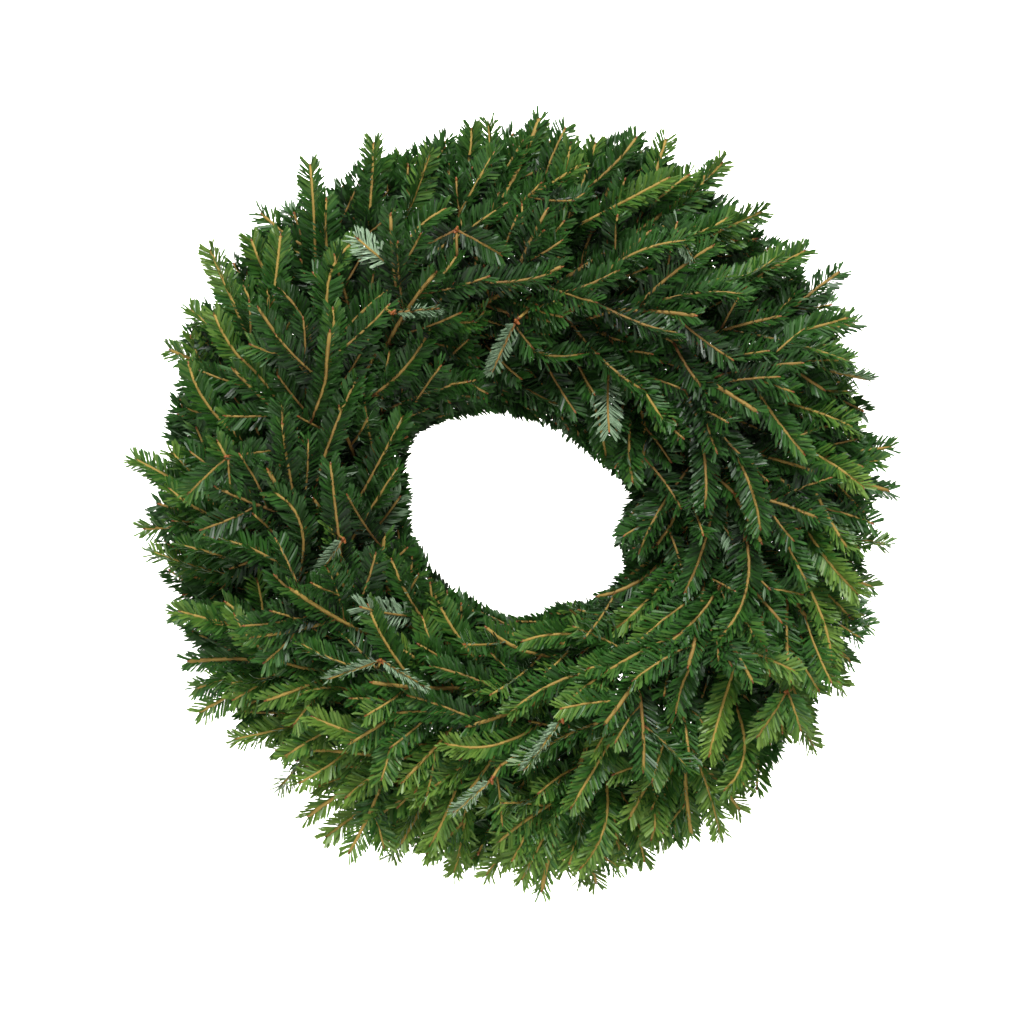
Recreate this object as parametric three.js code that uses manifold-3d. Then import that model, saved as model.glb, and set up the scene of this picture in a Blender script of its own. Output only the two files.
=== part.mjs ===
// Fresh fir wreath on a double-rail clamp ring, in millimetres, +Z up.
// It hangs upright with its face towards -Y. The origin is where a hook carries it: the underside of
// the outer rail at the top, halfway through the wire. Angles round the wreath run clockwise from the
// top as seen from the front, and heights stand off the plane that the back of the rails lies in.

import * as THREE from 'three';
import { mergeVertices } from 'three/addons/utils/BufferGeometryUtils.js';
import Module from 'manifold-3d';

// Ring of two rails with a bent clamp for each bunch
const bunchCount = 12;
const outerRailRadius = 152.4;
const innerRailRadius = 128;
const railWireRadius = 1.6;
const railSides = 6;
const railSegments = 36;
const clampWireHalf = 1.15;
const clampHalfWidth = 12.6;
const clampCorner = 3.4;
const clampFootCorner = 0.6 * clampCorner;
const clampMouth = 1.8;
const weldDepth = 0.5;
const mergeDistance = 1e-4;

// Cut stems, side by side through each clamp
const bunchRadius = 140.2;
const stemRadius = 3.1;
const stemPitch = 5.5;
const stemSides = 6;
const stemFront = 28;
const stemTails = [-20, -25, -22];
const seatGap = 0.3;

// Foliage
const axisStep = 4;
const holeRadius = 88;
const holeToAxis = 8;
const wallClearance = 0.8;
const wallToAxis = 5;
const coreSides = 3;
const sideShootWidth = 1.9;
const sideShootRoot = 1.2;
const budWidth = 1.4;
const budTipRadius = 0.3;
const coreClearance = 6.2;
const forkSpan = 14;
const leaderRootPoints = 4;
const sideRootPoints = 3;
const needleLength = 18;
const needleBase = 2.4;
const stationPitch = 27;
const firstStation = 12;
const firstLeaderStation = 24;
const lastStation = 9;
const needleClearance = 0.35;
const ownNeedleClearance = 0.05;
const needleRootRadius = 1.7;
const needleTipRadius = 0.15;
const thickestPair = stemRadius + needleRootRadius + needleClearance;
const parallelLimit = 1e-9;
const bunchSeed = 100;
const needleSeed = 7000;

// How far the rim stands out where each bunch's outer spray ends, clockwise from 1 o'clock
const rimReach = [306, 297, 295, 306, 312, 306, 295, 298, 297, 309, 306, 311];
const tipReach = 6;
const longestGrowth = 1.3;

// Each habit: the leader's length, how it heads (0 is outward, 90 is clockwise) and rises from start to
// tip, its roll, and its side shoots (place along the leader, side, angle, length, lift). Side 1 is the
// right-hand side of the leader as seen from the front, which is the clockwise one on an outer spray.
const habits = {
  outer: {
    row: -1, length: 204, heading: [60, 14], rise: [25, -15], roll: 14, width: 2.6,
    sides: [[0.3, 1, 50, 96, 0.05], [0.35, -1, 50, 94, -0.05], [0.6, 1, 46, 74, 0], [0.65, -1, 46, 72, 0]],
  },
  crest: {
    row: 0, length: 156, heading: [78, 58], rise: [38, 25], roll: -4, width: 2.4,
    sides: [[0.36, -1, 48, 96, -0.22], [0.5, 1, 44, 62, -0.3], [0.68, -1, 46, 74, -0.2]],
  },
  inner: {
    row: 1, length: 120, heading: [94, 118], rise: [24, 8], roll: -12, width: 2.2,
    sides: [[0.34, -1, 42, 66, 0.35], [0.42, 1, 26, 44, -0.1]],
  },
};
const lengthSpread = 0.07;
const headingSpread = 7;
const riseSpread = 4;
const rollSpread = 9;
const sideLengthSpread = 0.12;
const sideAngleSpread = 5;
const sideBend = 0.3;

// Ways to lean a leader or a side shoot clear of what is already there, tried in this order
const leans = [
  [0, 0], [0, 5], [6, 0], [-6, 0], [0, -5], [6, 6], [-6, 6], [0, 10], [10, -4], [-10, -4], [0, 15],
];

// Lengths and heights that follow from those above
const degree = Math.PI / 180;
const railBack = railWireRadius * Math.cos(Math.PI / railSides);
const railFront = 2 * railBack;
const ringCentreZ = railWireRadius - outerRailRadius;
const clampBaseHeight = railFront + clampWireHalf - weldDepth;
const stemHalfHeight = stemRadius * Math.cos(Math.PI / stemSides);
const stemHeight = clampBaseHeight + clampWireHalf + seatGap + stemHalfHeight;
const clampTopHeight = stemHeight + stemHalfHeight + seatGap + clampWireHalf;

const wasm = await Module();
wasm.setup();

const materials = {
  wire: new THREE.MeshStandardMaterial({ color: 0x4a4f4b, roughness: 0.45, metalness: 0.8 }),
  bark: new THREE.MeshStandardMaterial({ color: 0x6b5236, roughness: 0.85, metalness: 0 }),
  foliage: new THREE.MeshStandardMaterial({ color: 0x3f5a2a, roughness: 0.6, metalness: 0 }),
};

const mix = (a, b, share) => a + (b - a) * share;

// Repeatable random numbers from 0 to 1
function makeRandom(seed) {
  let state = seed >>> 0;
  return () => {
    state = (state + 0x6d2b79f5) >>> 0;
    let t = Math.imul(state ^ (state >>> 15), 1 | state);
    t = (t + Math.imul(t ^ (t >>> 7), 61 | t)) ^ t;
    return ((t ^ (t >>> 14)) >>> 0) / 4294967296;
  };
}

// Directions and places on the wreath

const towardsViewer = new THREE.Vector3(0, -1, 0);

function outwardAt(angle) {
  return new THREE.Vector3(Math.sin(angle), 0, Math.cos(angle));
}

function clockwiseAt(angle) {
  return new THREE.Vector3(Math.cos(angle), 0, -Math.sin(angle));
}

function place(radius, angle, height) {
  const centre = new THREE.Vector3(0, railBack - height, ringCentreZ);
  return outwardAt(angle).multiplyScalar(radius).add(centre);
}

function angleOf(point) {
  return Math.atan2(point.x, point.z - ringCentreZ);
}

function radiusOf(point) {
  return Math.hypot(point.x, point.z - ringCentreZ);
}

function bunchAngle(bunch) {
  return ((bunch + 0.5) * 2 * Math.PI) / bunchCount;
}

function label(bunch) {
  return String(bunch + 1).padStart(2, '0');
}

// Solids and geometry

function solidOf(geometry) {
  const vertProperties = new Float32Array(geometry.attributes.position.array);
  const triVerts = new Uint32Array(geometry.index.array);
  return new wasm.Manifold(new wasm.Mesh({ numProp: 3, vertProperties, triVerts }));
}

// The largest closed shell of a solid, so that no scrap and no sealed hollow is left
function mainBody(solid) {
  return solid.decompose().reduce((best, part) => (part.volume() > best.volume() ? part : best));
}

function geometryOf(solid) {
  const mesh = solid.getMesh();
  const geometry = new THREE.BufferGeometry();
  geometry.setAttribute('position', new THREE.BufferAttribute(new Float32Array(mesh.vertProperties), 3));
  geometry.setIndex(new THREE.BufferAttribute(new Uint32Array(mesh.triVerts), 1));
  geometry.computeVertexNormals();
  return geometry;
}

function indexed(points, triangles) {
  const geometry = new THREE.BufferGeometry();
  const position = new Float32Array(points.flatMap((point) => [point.x, point.y, point.z]));
  geometry.setAttribute('position', new THREE.BufferAttribute(position, 3));
  geometry.setIndex(triangles.flat());
  return geometry;
}

function meshOf(name, solid, material) {
  const mesh = new THREE.Mesh(geometryOf(mainBody(solid)), material);
  mesh.name = name;
  return mesh;
}

// A closed tube: rings of vertices joined side by side, with a flat cap at each end
function ringTube(rings) {
  const sides = rings[0].length;
  const triangles = [];
  rings.slice(1).forEach((ring, row) => {
    for (let i = 0; i < sides; i += 1) {
      const near = row * sides + i;
      const beside = row * sides + ((i + 1) % sides);
      triangles.push([near, beside + sides, near + sides], [near, beside, beside + sides]);
    }
  });
  const last = (rings.length - 1) * sides;
  for (let i = 1; i < sides - 1; i += 1) {
    triangles.push([0, i + 1, i], [last, last + i, last + i + 1]);
  }
  return indexed(rings.flat(), triangles);
}

// Ring of points round a centre, from the up direction towards the across direction. A turn of half a
// step lays a flat side, in place of a corner, towards the up direction.
function ringRound(centre, across, up, radius, sides, turn = 0) {
  return Array.from({ length: sides }, (_, i) => {
    const angle = ((i + turn) * 2 * Math.PI) / sides;
    return centre.clone()
      .addScaledVector(up, radius * Math.cos(angle))
      .addScaledVector(across, radius * Math.sin(angle));
  });
}

// Rails and clamps

function railSolid(radius) {
  const torus = new THREE.TorusGeometry(radius, railWireRadius, railSides, railSegments);
  torus.rotateX(Math.PI / 2).translate(0, 0, ringCentreZ);
  torus.deleteAttribute('normal');
  torus.deleteAttribute('uv');
  return solidOf(mergeVertices(torus, mergeDistance));
}

// Half of a clamp's bent wire, from its open mouth over the stems to the middle of its welded base
function clampCorners() {
  return [
    [clampMouth, clampTopHeight],
    [clampHalfWidth - clampCorner, clampTopHeight],
    [clampHalfWidth, clampTopHeight - clampCorner],
    [clampHalfWidth, clampBaseHeight + clampFootCorner],
    [clampHalfWidth - clampFootCorner, clampBaseHeight],
  ];
}

function clampSolid(angle) {
  const half = clampCorners();
  const outline = [...half, ...half.map(([side, height]) => [-side, height]).reverse()];
  const points = outline.map(([side, height]) => place(bunchRadius + side, angle, height));
  const along = clockwiseAt(angle);
  const halfDiagonal = clampWireHalf * Math.SQRT2;
  const rings = points.map((point, i) => {
    const before = points[Math.max(i - 1, 0)];
    const after = points[Math.min(i + 1, points.length - 1)];
    const forward = after.clone().sub(before).normalize();
    const up = along.clone().cross(forward);
    return ringRound(point, along, up, halfDiagonal, 4, 0.5);
  });
  return solidOf(ringTube(rings));
}

function clampRing() {
  let solid = railSolid(outerRailRadius).add(railSolid(innerRailRadius));
  for (let bunch = 0; bunch < bunchCount; bunch += 1) {
    solid = solid.add(clampSolid(bunchAngle(bunch)));
  }
  return meshOf('clamp_ring', solid, materials.wire);
}

// Stems

// End of one stem of a bunch: row -1 is the outermost and row 1 the innermost
function stemEnd(bunch, row, along) {
  const angle = bunchAngle(bunch);
  const start = place(bunchRadius - row * stemPitch, angle, stemHeight);
  return start.addScaledVector(clockwiseAt(angle), along);
}

function stems(bunch) {
  const angle = bunchAngle(bunch);
  const solids = stemTails.map((tail, i) => {
    const ends = [stemEnd(bunch, i - 1, tail), stemEnd(bunch, i - 1, stemFront)];
    const across = outwardAt(angle).negate();
    const section = (end) => ringRound(end, across, towardsViewer, stemRadius, stemSides, 0.5);
    return solidOf(ringTube(ends.map(section)));
  });
  const solid = solids.reduce((joined, next) => joined.add(next));
  return meshOf(`stems_${label(bunch)}`, solid, materials.bark);
}

// Shoots: each is an axis of points, with a frame of tangent, across and up at each of them

function framesAlong(points, upHint, roll) {
  return points.map((point, i) => {
    const before = points[Math.max(i - 1, 0)];
    const after = points[Math.min(i + 1, points.length - 1)];
    const tangent = after.clone().sub(before).normalize();
    const up = upHint.clone().addScaledVector(tangent, -upHint.dot(tangent)).normalize();
    up.applyAxisAngle(tangent, -roll * degree);
    return { tangent, up, across: tangent.clone().cross(up) };
  });
}

function leaderPoints(start, length, heading, rise, reach, lean) {
  const points = [start];
  const nominal = Math.round(length / axisStep);
  const steps = reach ? Math.round(nominal * longestGrowth) : nominal;
  for (let i = 0; i < steps; i += 1) {
    const at = points[i];
    if (reach && radiusOf(at) > reach - tipReach) {
      break;
    }
    const share = Math.min(i / nominal, 1);
    const turn = (mix(heading[0], heading[1], share) + lean[0] * share) * degree;
    const lift = (mix(rise[0], rise[1], share) + lean[1] * (1 - share)) * degree;
    const angle = angleOf(at);
    const next = at.clone()
      .addScaledVector(outwardAt(angle), axisStep * Math.cos(turn) * Math.cos(lift))
      .addScaledVector(clockwiseAt(angle), axisStep * Math.sin(turn) * Math.cos(lift))
      .addScaledVector(towardsViewer, axisStep * Math.sin(lift));
    points.push(next);
  }
  return points;
}

function sidePoints(leader, index, side, angle, length, lift, lean) {
  const { tangent, across, up } = leader.frames[index];
  const points = [leader.points[index]];
  const steps = Math.round(length / axisStep);
  const slope = lift + Math.tan(lean[1] * degree);
  for (let i = 0; i < steps; i += 1) {
    const turn = (angle + lean[0]) * degree * (1 - (sideBend * i) / steps);
    const direction = tangent.clone().multiplyScalar(Math.cos(turn))
      .addScaledVector(across, side * Math.sin(turn))
      .addScaledVector(up, slope)
      .normalize();
    points.push(points[i].clone().addScaledVector(direction, axisStep));
  }
  return points;
}

// Least distance between the points of an axis and the points already taken
function roomRound(points, taken) {
  let least = Infinity;
  for (const point of points) {
    for (const other of taken) {
      least = Math.min(least, point.distanceToSquared(other));
    }
  }
  return Math.sqrt(least);
}

// The first lean whose axis, past its root points, keeps clear of what is taken, in the wreath's depth
// and out of its hole
function leanClear(makePoints, rootPoints, taken) {
  for (const lean of leans) {
    const points = makePoints(lean);
    const free = points.slice(rootPoints);
    const inBounds = free.every((point) => (
      railBack - point.y > wallToAxis && radiusOf(point) > holeRadius + holeToAxis));
    if (inBounds && roomRound(free, taken) > coreClearance) {
      return points;
    }
  }
  return null;
}

// Axes of one spray: a leader that always grows, and the side shoots that find a clear way
function planSpray(kind, bunch, taken) {
  const habit = habits[kind];
  const random = makeRandom(bunchSeed * (bunch + 1) + habit.row + 2);
  const spread = (amount) => amount * (2 * random() - 1);
  const reach = kind === 'outer' ? rimReach[bunch] : 0;
  const length = habit.length * (1 + spread(lengthSpread));
  const turned = spread(headingSpread);
  const lifted = spread(riseSpread);
  const roll = habit.roll + spread(rollSpread);
  const heading = habit.heading.map((value) => value + turned);
  const rise = habit.rise.map((value) => value + lifted);
  const start = stemEnd(bunch, habit.row, stemFront + seatGap);
  const leaderFor = (lean) => leaderPoints(start, length, heading, rise, reach, lean);
  const points = leanClear(leaderFor, leaderRootPoints, taken) ?? leaderFor(leans[0]);
  const frames = framesAlong(points, towardsViewer, roll);
  const leader = { points, frames, width: habit.width, isLeader: true };
  const shoots = [leader];
  const own = [...points];
  for (const [share, side, angle, sideLength, lift] of habit.sides) {
    const index = Math.round(share * (points.length - 1));
    const grown = sideLength * (1 + spread(sideLengthSpread));
    const opened = angle + spread(sideAngleSpread);
    const sideFor = (lean) => sidePoints(leader, index, side, opened, grown, lift, lean);
    const room = [...taken, ...own.filter((point) => point.distanceTo(points[index]) > forkSpan)];
    const axis = leanClear(sideFor, sideRootPoints, room);
    const sideRoll = spread(rollSpread);
    if (axis) {
      const sideFrames = framesAlong(axis, leader.frames[index].up, sideRoll);
      shoots.push({ points: axis, frames: sideFrames, width: sideShootWidth, isLeader: false });
      own.push(...axis.slice(sideRootPoints));
    }
  }
  return { kind, bunch, shoots };
}

// Points of the ring and stems that foliage keeps clear of
function hardwarePoints() {
  const points = [];
  for (let bunch = 0; bunch < bunchCount; bunch += 1) {
    const angle = bunchAngle(bunch);
    for (const [side, height] of clampCorners()) {
      points.push(place(bunchRadius + side, angle, height), place(bunchRadius - side, angle, height));
    }
    for (let row = -1; row <= 1; row += 1) {
      for (let along = stemTails[row + 1]; along < stemFront - axisStep; along += axisStep) {
        points.push(stemEnd(bunch, row, along));
      }
    }
  }
  return points;
}

function planWreath() {
  const taken = hardwarePoints();
  const sprays = [];
  for (const kind of ['outer', 'inner', 'crest']) {
    for (let bunch = 0; bunch < bunchCount; bunch += 1) {
      const spray = planSpray(kind, bunch, taken);
      sprays.push(spray);
      spray.shoots.forEach((shoot) => taken.push(...shoot.points));
    }
  }
  return sprays;
}

// Needles: a shoot is a slim three-sided core, and at each station the six triangles between two
// close rings are each raised to a three-sided needle

// For each of a station's triangles: its corners (ring, corner), the side that its needle goes to, the
// needle's angle from the twig, its tilt upwards and its share of the full length. A ring's corners
// are the top, the lower right and the lower left.
const needleSeats = [
  { corners: [[0, 0], [0, 1], [1, 1]], side: 1, turn: 88, tilt: 0, share: 0.95 },
  { corners: [[0, 0], [1, 1], [1, 0]], side: 1, turn: 34, tilt: 26, share: 1 },
  { corners: [[0, 1], [1, 2], [1, 1]], side: 1, turn: 60, tilt: -28, share: 1 },
  { corners: [[1, 2], [0, 2], [0, 0]], side: -1, turn: 88, tilt: 0, share: 0.95 },
  { corners: [[1, 0], [1, 2], [0, 0]], side: -1, turn: 34, tilt: 26, share: 1 },
  { corners: [[0, 1], [0, 2], [1, 2]], side: -1, turn: 60, tilt: -28, share: 1 },
];
// Ways to bend a needle clear, tried in this order: more turn, more tilt, share of its length
const needleBends = [
  [0, 0, 1], [14, 6, 1], [-14, -6, 1], [0, 18, 0.9], [0, -18, 0.9], [22, 0, 0.75], [-24, 10, 0.75],
];
const shortestShare = 0.5;
const turnSpread = 7;
const tiltSpread = 9;
const shareSpread = 0.1;

// Place and frame at a distance along a shoot's axis
function frameAt(shoot, distance) {
  const last = shoot.points.length - 1;
  const index = Math.min(Math.floor(distance / axisStep), last - 1);
  const share = distance / axisStep - index;
  const centre = shoot.points[index].clone().lerp(shoot.points[index + 1], share);
  return { centre, ...shoot.frames[Math.min(index + Math.round(share), last)] };
}

// The core's rings: the root, a pair for each station, and the bud
function coreRings(shoot, rootFrame) {
  const length = (shoot.points.length - 1) * axisStep;
  const first = shoot.isLeader ? firstLeaderStation : firstStation;
  const gaps = Math.round((length - lastStation - first) / stationPitch);
  const pitch = (length - lastStation - first) / gaps;
  const ringAt = ({ centre, across, up }, half, distance) => (
    { centre, half, distance, points: ringRound(centre, across, up, half, coreSides) });
  const rings = [];
  for (let i = 0; i <= gaps; i += 1) {
    for (const distance of [first + i * pitch, first + i * pitch + needleBase]) {
      const half = mix(shoot.width, budWidth, distance / length);
      rings.push(ringAt(frameAt(shoot, distance), half, distance));
    }
  }
  const rootHalf = shoot.isLeader ? shoot.width : sideShootRoot;
  const root = ringAt(rootFrame ?? frameAt(shoot, 0), rootHalf, 0);
  return { root, rings, tip: shoot.points[shoot.points.length - 1] };
}

// Gap between two tapered rods, each from a root to a tip with a radius at both
const segmentA = new THREE.Vector3();
const segmentB = new THREE.Vector3();
const between = new THREE.Vector3();

function rodGap(one, two) {
  const a = segmentA.subVectors(one.tip, one.root);
  const b = segmentB.subVectors(two.tip, two.root);
  const c = between.subVectors(one.root, two.root);
  const aa = a.dot(a);
  const bb = b.dot(b);
  const ab = a.dot(b);
  const ac = a.dot(c);
  const bc = b.dot(c);
  const spread = aa * bb - ab * ab;
  let s = spread > parallelLimit ? THREE.MathUtils.clamp((ab * bc - ac * bb) / spread, 0, 1) : 0;
  const t = THREE.MathUtils.clamp((ab * s + bc) / bb, 0, 1);
  s = THREE.MathUtils.clamp((ab * t - ac) / aa, 0, 1);
  const distance = c.addScaledVector(a, s).addScaledVector(b, -t).length();
  return distance - mix(one.rootRadius, one.tipRadius, s) - mix(two.rootRadius, two.tipRadius, t);
}

function rod(root, tip, rootRadius, tipRadius, spray, shoot) {
  const middle = root.clone().lerp(tip, 0.5);
  return { root, tip, rootRadius, tipRadius, spray, shoot, middle, half: root.distanceTo(tip) / 2 };
}

// Whether a needle keeps clear of every rod, by more where the rod is another node's
function needleClears(needle, rods) {
  return rods.every((other) => {
    if (other.shoot === needle.shoot) {
      return true;
    }
    const reach = needle.half + other.half + thickestPair;
    if (needle.middle.distanceToSquared(other.middle) > reach * reach) {
      return true;
    }
    return rodGap(needle, other) > (other.spray === needle.spray ? ownNeedleClearance : needleClearance);
  });
}

// Bends a needle clear of the wall plane and of the hole
function keepInside(tip, root) {
  tip.y = Math.min(tip.y, railBack - wallClearance);
  const radius = radiusOf(tip);
  if (radius < holeRadius) {
    const outward = outwardAt(angleOf(tip));
    tip.addScaledVector(outward, holeRadius - radius);
  }
  return tip.distanceTo(root) > shortestShare * needleLength;
}

// A needle's tip for one seat, or null where no bend of it is clear
function growNeedle(seat, frame, base, random, rods, spray, shoot) {
  const turn = seat.turn + turnSpread * (2 * random() - 1);
  const tilt = seat.tilt + tiltSpread * (2 * random() - 1);
  const share = seat.share * (1 + shareSpread * (2 * random() - 1));
  for (const [turnMore, tiltMore, shorter] of needleBends) {
    const fromTwig = (turn + turnMore) * degree;
    const upwards = (tilt + tiltMore) * degree;
    const length = needleLength * share * shorter;
    const tip = base.clone()
      .addScaledVector(frame.tangent, length * Math.cos(upwards) * Math.cos(fromTwig))
      .addScaledVector(frame.across, seat.side * length * Math.cos(upwards) * Math.sin(fromTwig))
      .addScaledVector(frame.up, length * Math.sin(upwards));
    const needle = rod(base, tip, needleRootRadius, needleTipRadius, spray, shoot);
    if (keepInside(tip, base) && needleClears(needle, rods)) {
      rods.push(needle);
      return tip;
    }
  }
  return null;
}

// Triangles of the core between two rings, as ringTube joins them
function plainCells(near, far) {
  return near.flatMap((corner, i) => {
    const next = (i + 1) % coreSides;
    return [[corner, far[next], far[i]], [corner, near[next], far[next]]];
  });
}

// One shoot as a closed geometry: core, needles and bud
function shootGeometry(shoot, core, random, rods, spray) {
  const rings = [core.root, ...core.rings];
  const points = rings.flatMap((ring) => ring.points);
  const corners = rings.map((_, row) => Array.from({ length: coreSides }, (__, i) => coreSides * row + i));
  const triangles = [corners[0].toReversed()];
  for (let row = 0; row < core.rings.length; row += 2) {
    triangles.push(...plainCells(corners[row], corners[row + 1]));
    const pair = [corners[row + 1], corners[row + 2]];
    const frame = frameAt(shoot, rings[row + 1].distance);
    for (const seat of needleSeats) {
      const face = seat.corners.map(([ring, corner]) => pair[ring][corner]);
      const base = new THREE.Vector3();
      face.forEach((vertex) => base.addScaledVector(points[vertex], 1 / 3));
      const tip = growNeedle(seat, frame, base, random, rods, spray, shoot);
      if (tip) {
        const apex = points.push(tip) - 1;
        triangles.push([face[0], face[1], apex], [face[1], face[2], apex], [face[2], face[0], apex]);
      } else {
        triangles.push(face);
      }
    }
  }
  const bud = points.push(core.tip) - 1;
  const last = corners.at(-1);
  last.forEach((corner, i) => triangles.push([corner, last[(i + 1) % coreSides], bud]));
  return indexed(points, triangles);
}

function coreRods(shoot, core, spray) {
  const stops = [core.root, ...core.rings, { centre: core.tip, half: budTipRadius }];
  return stops.slice(1).map((stop, i) => (
    rod(stops[i].centre, stop.centre, stops[i].half, stop.half, spray, shoot)));
}

// The ring and stems as rods, for the needles to keep clear of
function hardwareRods() {
  const rods = [];
  const chain = (points, radius) => points.slice(1).forEach((point, i) => {
    rods.push(rod(points[i], point, radius, radius, null, null));
  });
  for (const radius of [outerRailRadius, innerRailRadius]) {
    const turns = Array.from({ length: railSegments + 1 }, (_, i) => (i * 2 * Math.PI) / railSegments);
    chain(turns.map((angle) => place(radius, angle, railBack)), railWireRadius);
  }
  for (let bunch = 0; bunch < bunchCount; bunch += 1) {
    const angle = bunchAngle(bunch);
    for (const mirror of [1, -1]) {
      const corners = clampCorners();
      const bends = corners.map(([side, height]) => place(bunchRadius + mirror * side, angle, height));
      chain(bends, clampWireHalf * Math.SQRT2);
    }
    for (let row = -1; row <= 1; row += 1) {
      chain([stemEnd(bunch, row, stemTails[row + 1]), stemEnd(bunch, row, stemFront)], stemRadius);
    }
  }
  return rods;
}

// The frame that a leader's root cap takes from the stem it continues
function rootFrameOf(spray) {
  const angle = bunchAngle(spray.bunch);
  const row = habits[spray.kind].row;
  const centre = stemEnd(spray.bunch, row, stemFront + seatGap);
  return { centre, across: outwardAt(angle).negate(), up: towardsViewer };
}

function foliage() {
  const sprays = planWreath();
  const cores = new Map();
  const rods = hardwareRods();
  for (const spray of sprays) {
    for (const shoot of spray.shoots) {
      const core = coreRings(shoot, shoot.isLeader ? rootFrameOf(spray) : null);
      cores.set(shoot, core);
      rods.push(...coreRods(shoot, core, spray));
    }
  }
  return sprays.map((spray) => {
    const random = makeRandom(needleSeed + bunchSeed * spray.bunch + habits[spray.kind].row);
    const solids = spray.shoots.map((shoot) => (
      solidOf(shootGeometry(shoot, cores.get(shoot), random, rods, spray))));
    const solid = solids.reduce((joined, next) => joined.add(next));
    return meshOf(`${spray.kind}_spray_${label(spray.bunch)}`, solid, materials.foliage);
  });
}

const wreath = new THREE.Group();
wreath.add(clampRing());
for (let bunch = 0; bunch < bunchCount; bunch += 1) {
  wreath.add(stems(bunch));
}
wreath.add(...foliage());

export default wreath;
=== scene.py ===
"""Fresh fir wreath on a wire clamp ring: needles, twigs, buds, stems and wire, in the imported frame.

Lengths are in millimetres and angles in degrees, unless a comment says otherwise.
"""
import logging
import math
from collections.abc import Callable
from dataclasses import dataclass, field
from enum import Enum, IntEnum
from functools import partial

import bpy
import numpy as np
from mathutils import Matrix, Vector


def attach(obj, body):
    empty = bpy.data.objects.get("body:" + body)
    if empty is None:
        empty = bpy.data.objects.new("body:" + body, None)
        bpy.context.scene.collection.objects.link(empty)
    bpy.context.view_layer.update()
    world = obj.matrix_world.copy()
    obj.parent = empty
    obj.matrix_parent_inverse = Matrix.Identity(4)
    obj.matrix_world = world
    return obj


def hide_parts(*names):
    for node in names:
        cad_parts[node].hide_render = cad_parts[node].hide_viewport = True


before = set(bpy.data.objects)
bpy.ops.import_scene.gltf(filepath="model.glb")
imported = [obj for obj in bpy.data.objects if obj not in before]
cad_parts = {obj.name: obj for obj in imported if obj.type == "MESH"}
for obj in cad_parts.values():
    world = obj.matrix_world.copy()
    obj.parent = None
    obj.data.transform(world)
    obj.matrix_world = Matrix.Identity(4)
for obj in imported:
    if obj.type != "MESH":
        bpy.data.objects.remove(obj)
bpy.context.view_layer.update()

LOG = logging.getLogger("wreath")
MM = 0.001
IMAGE_SIDE = 1024
# Pixel that the hole's centre falls on, and the size of a pixel at the wreath
HOLE_PIXEL = (520.0, 500.0)
PIXEL_MM = 0.79
# Spacing of the points on every shoot's axis
AXIS_STEP = 4.0
# Points at which a curve is measured before it is cut into such steps
CURVE_STOPS = 60
FRONT = np.array([0.0, -1.0, 0.0])
UPWARD = np.array([0.0, 0.0, 1.0])
Pair = tuple[float, float]
Array = np.ndarray
Random = np.random.Generator


class Kind(Enum):
    """The three kinds of spray in a bunch, by their row in the clamp from the outside in."""

    OUTER = -1
    CREST = 0
    INNER = 1

    @property
    def label(self) -> str:
        """Lower-case word that the kind has in the names of nodes."""
        return self.name.lower()


class Layer(Enum):
    """Depth of a shoot in the foliage; deep ones get painted shade, front ones painted light."""

    BACK = -0.42
    MIDDLE = -0.06
    FRONT = 0.12


class Seed(IntEnum):
    """Where the random draws of each use start."""

    TIPS = 29
    COVER = 41
    FORKS = 63
    CLOSING = 77
    SOLIDS = 100
    STEMS = 300
    NEEDLES = 700
    BUDS = 800
    FILL = 5000
    SHADE = 9000
    CLOSING_SHOOTS = 40000


@dataclass(frozen=True)
class SideShoot:
    """A side shoot of a habit: place along the leader, side, angle, length, lift."""

    share: float
    side: int
    angle: float
    length: float
    lift: float


@dataclass(frozen=True)
class Habit:
    """How one kind of spray grows.

    Its leader has a length, heading, rise, roll and half width, and bears side shoots. So many
    lesser shoots fill it, with their lifts in a range.
    """

    length: float
    heading: Pair
    rise: Pair
    roll: float
    width: float
    sides: tuple[SideShoot, ...]
    fill: int
    fill_lift: Pair


HABITS: dict[Kind, Habit] = {
    Kind.OUTER: Habit(204, (60, 14), (25, -15), 14, 2.6, (
        SideShoot(0.3, 1, 50, 96, 0.05), SideShoot(0.35, -1, 50, 94, -0.05),
        SideShoot(0.6, 1, 46, 74, 0), SideShoot(0.65, -1, 46, 72, 0)), 8, (-0.25, 0.45)),
    Kind.CREST: Habit(156, (78, 58), (38, 25), -4, 2.4, (
        SideShoot(0.36, -1, 48, 96, -0.22), SideShoot(0.5, 1, 44, 62, -0.3),
        SideShoot(0.68, -1, 46, 74, -0.2)), 6, (-0.6, 0.1)),
    Kind.INNER: Habit(120, (94, 118), (24, 8), -12, 2.2, (
        SideShoot(0.34, -1, 42, 66, 0.35), SideShoot(0.42, 1, 26, 44, -0.1)), 5, (0.0, 0.7)),
}
# Clockwise angle and radius of the shoot tips that stand out of the outline
TIPS = ((3, 305), (12, 298), (31, 321), (40, 301), (49, 305), (61, 300), (71, 296), (84, 293),
        (97, 296), (120, 300), (130, 309), (149, 312), (161, 308), (171, 313), (180, 305),
        (190, 304), (200, 307), (210, 313), (220, 305), (230, 299), (240, 303), (252, 296),
        (262, 300), (276, 312), (300, 309), (309, 319), (328, 316), (338, 312))
# Radius that each bunch's outer leader grows to, which sets the outline
RIM_REACH = (306, 297, 295, 306, 312, 306, 295, 298, 297, 309, 306, 311)
# Turns that a shoot of the solids tries until its way is clear, as (sideways, upwards)
LEANS = ((0, 0), (0, 5), (6, 0), (-6, 0), (0, -5), (6, 6), (-6, 6), (0, 10), (10, -4), (-10, -4),
         (0, 15))
STEM_ROWS = (-1, 0, 1)


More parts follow.
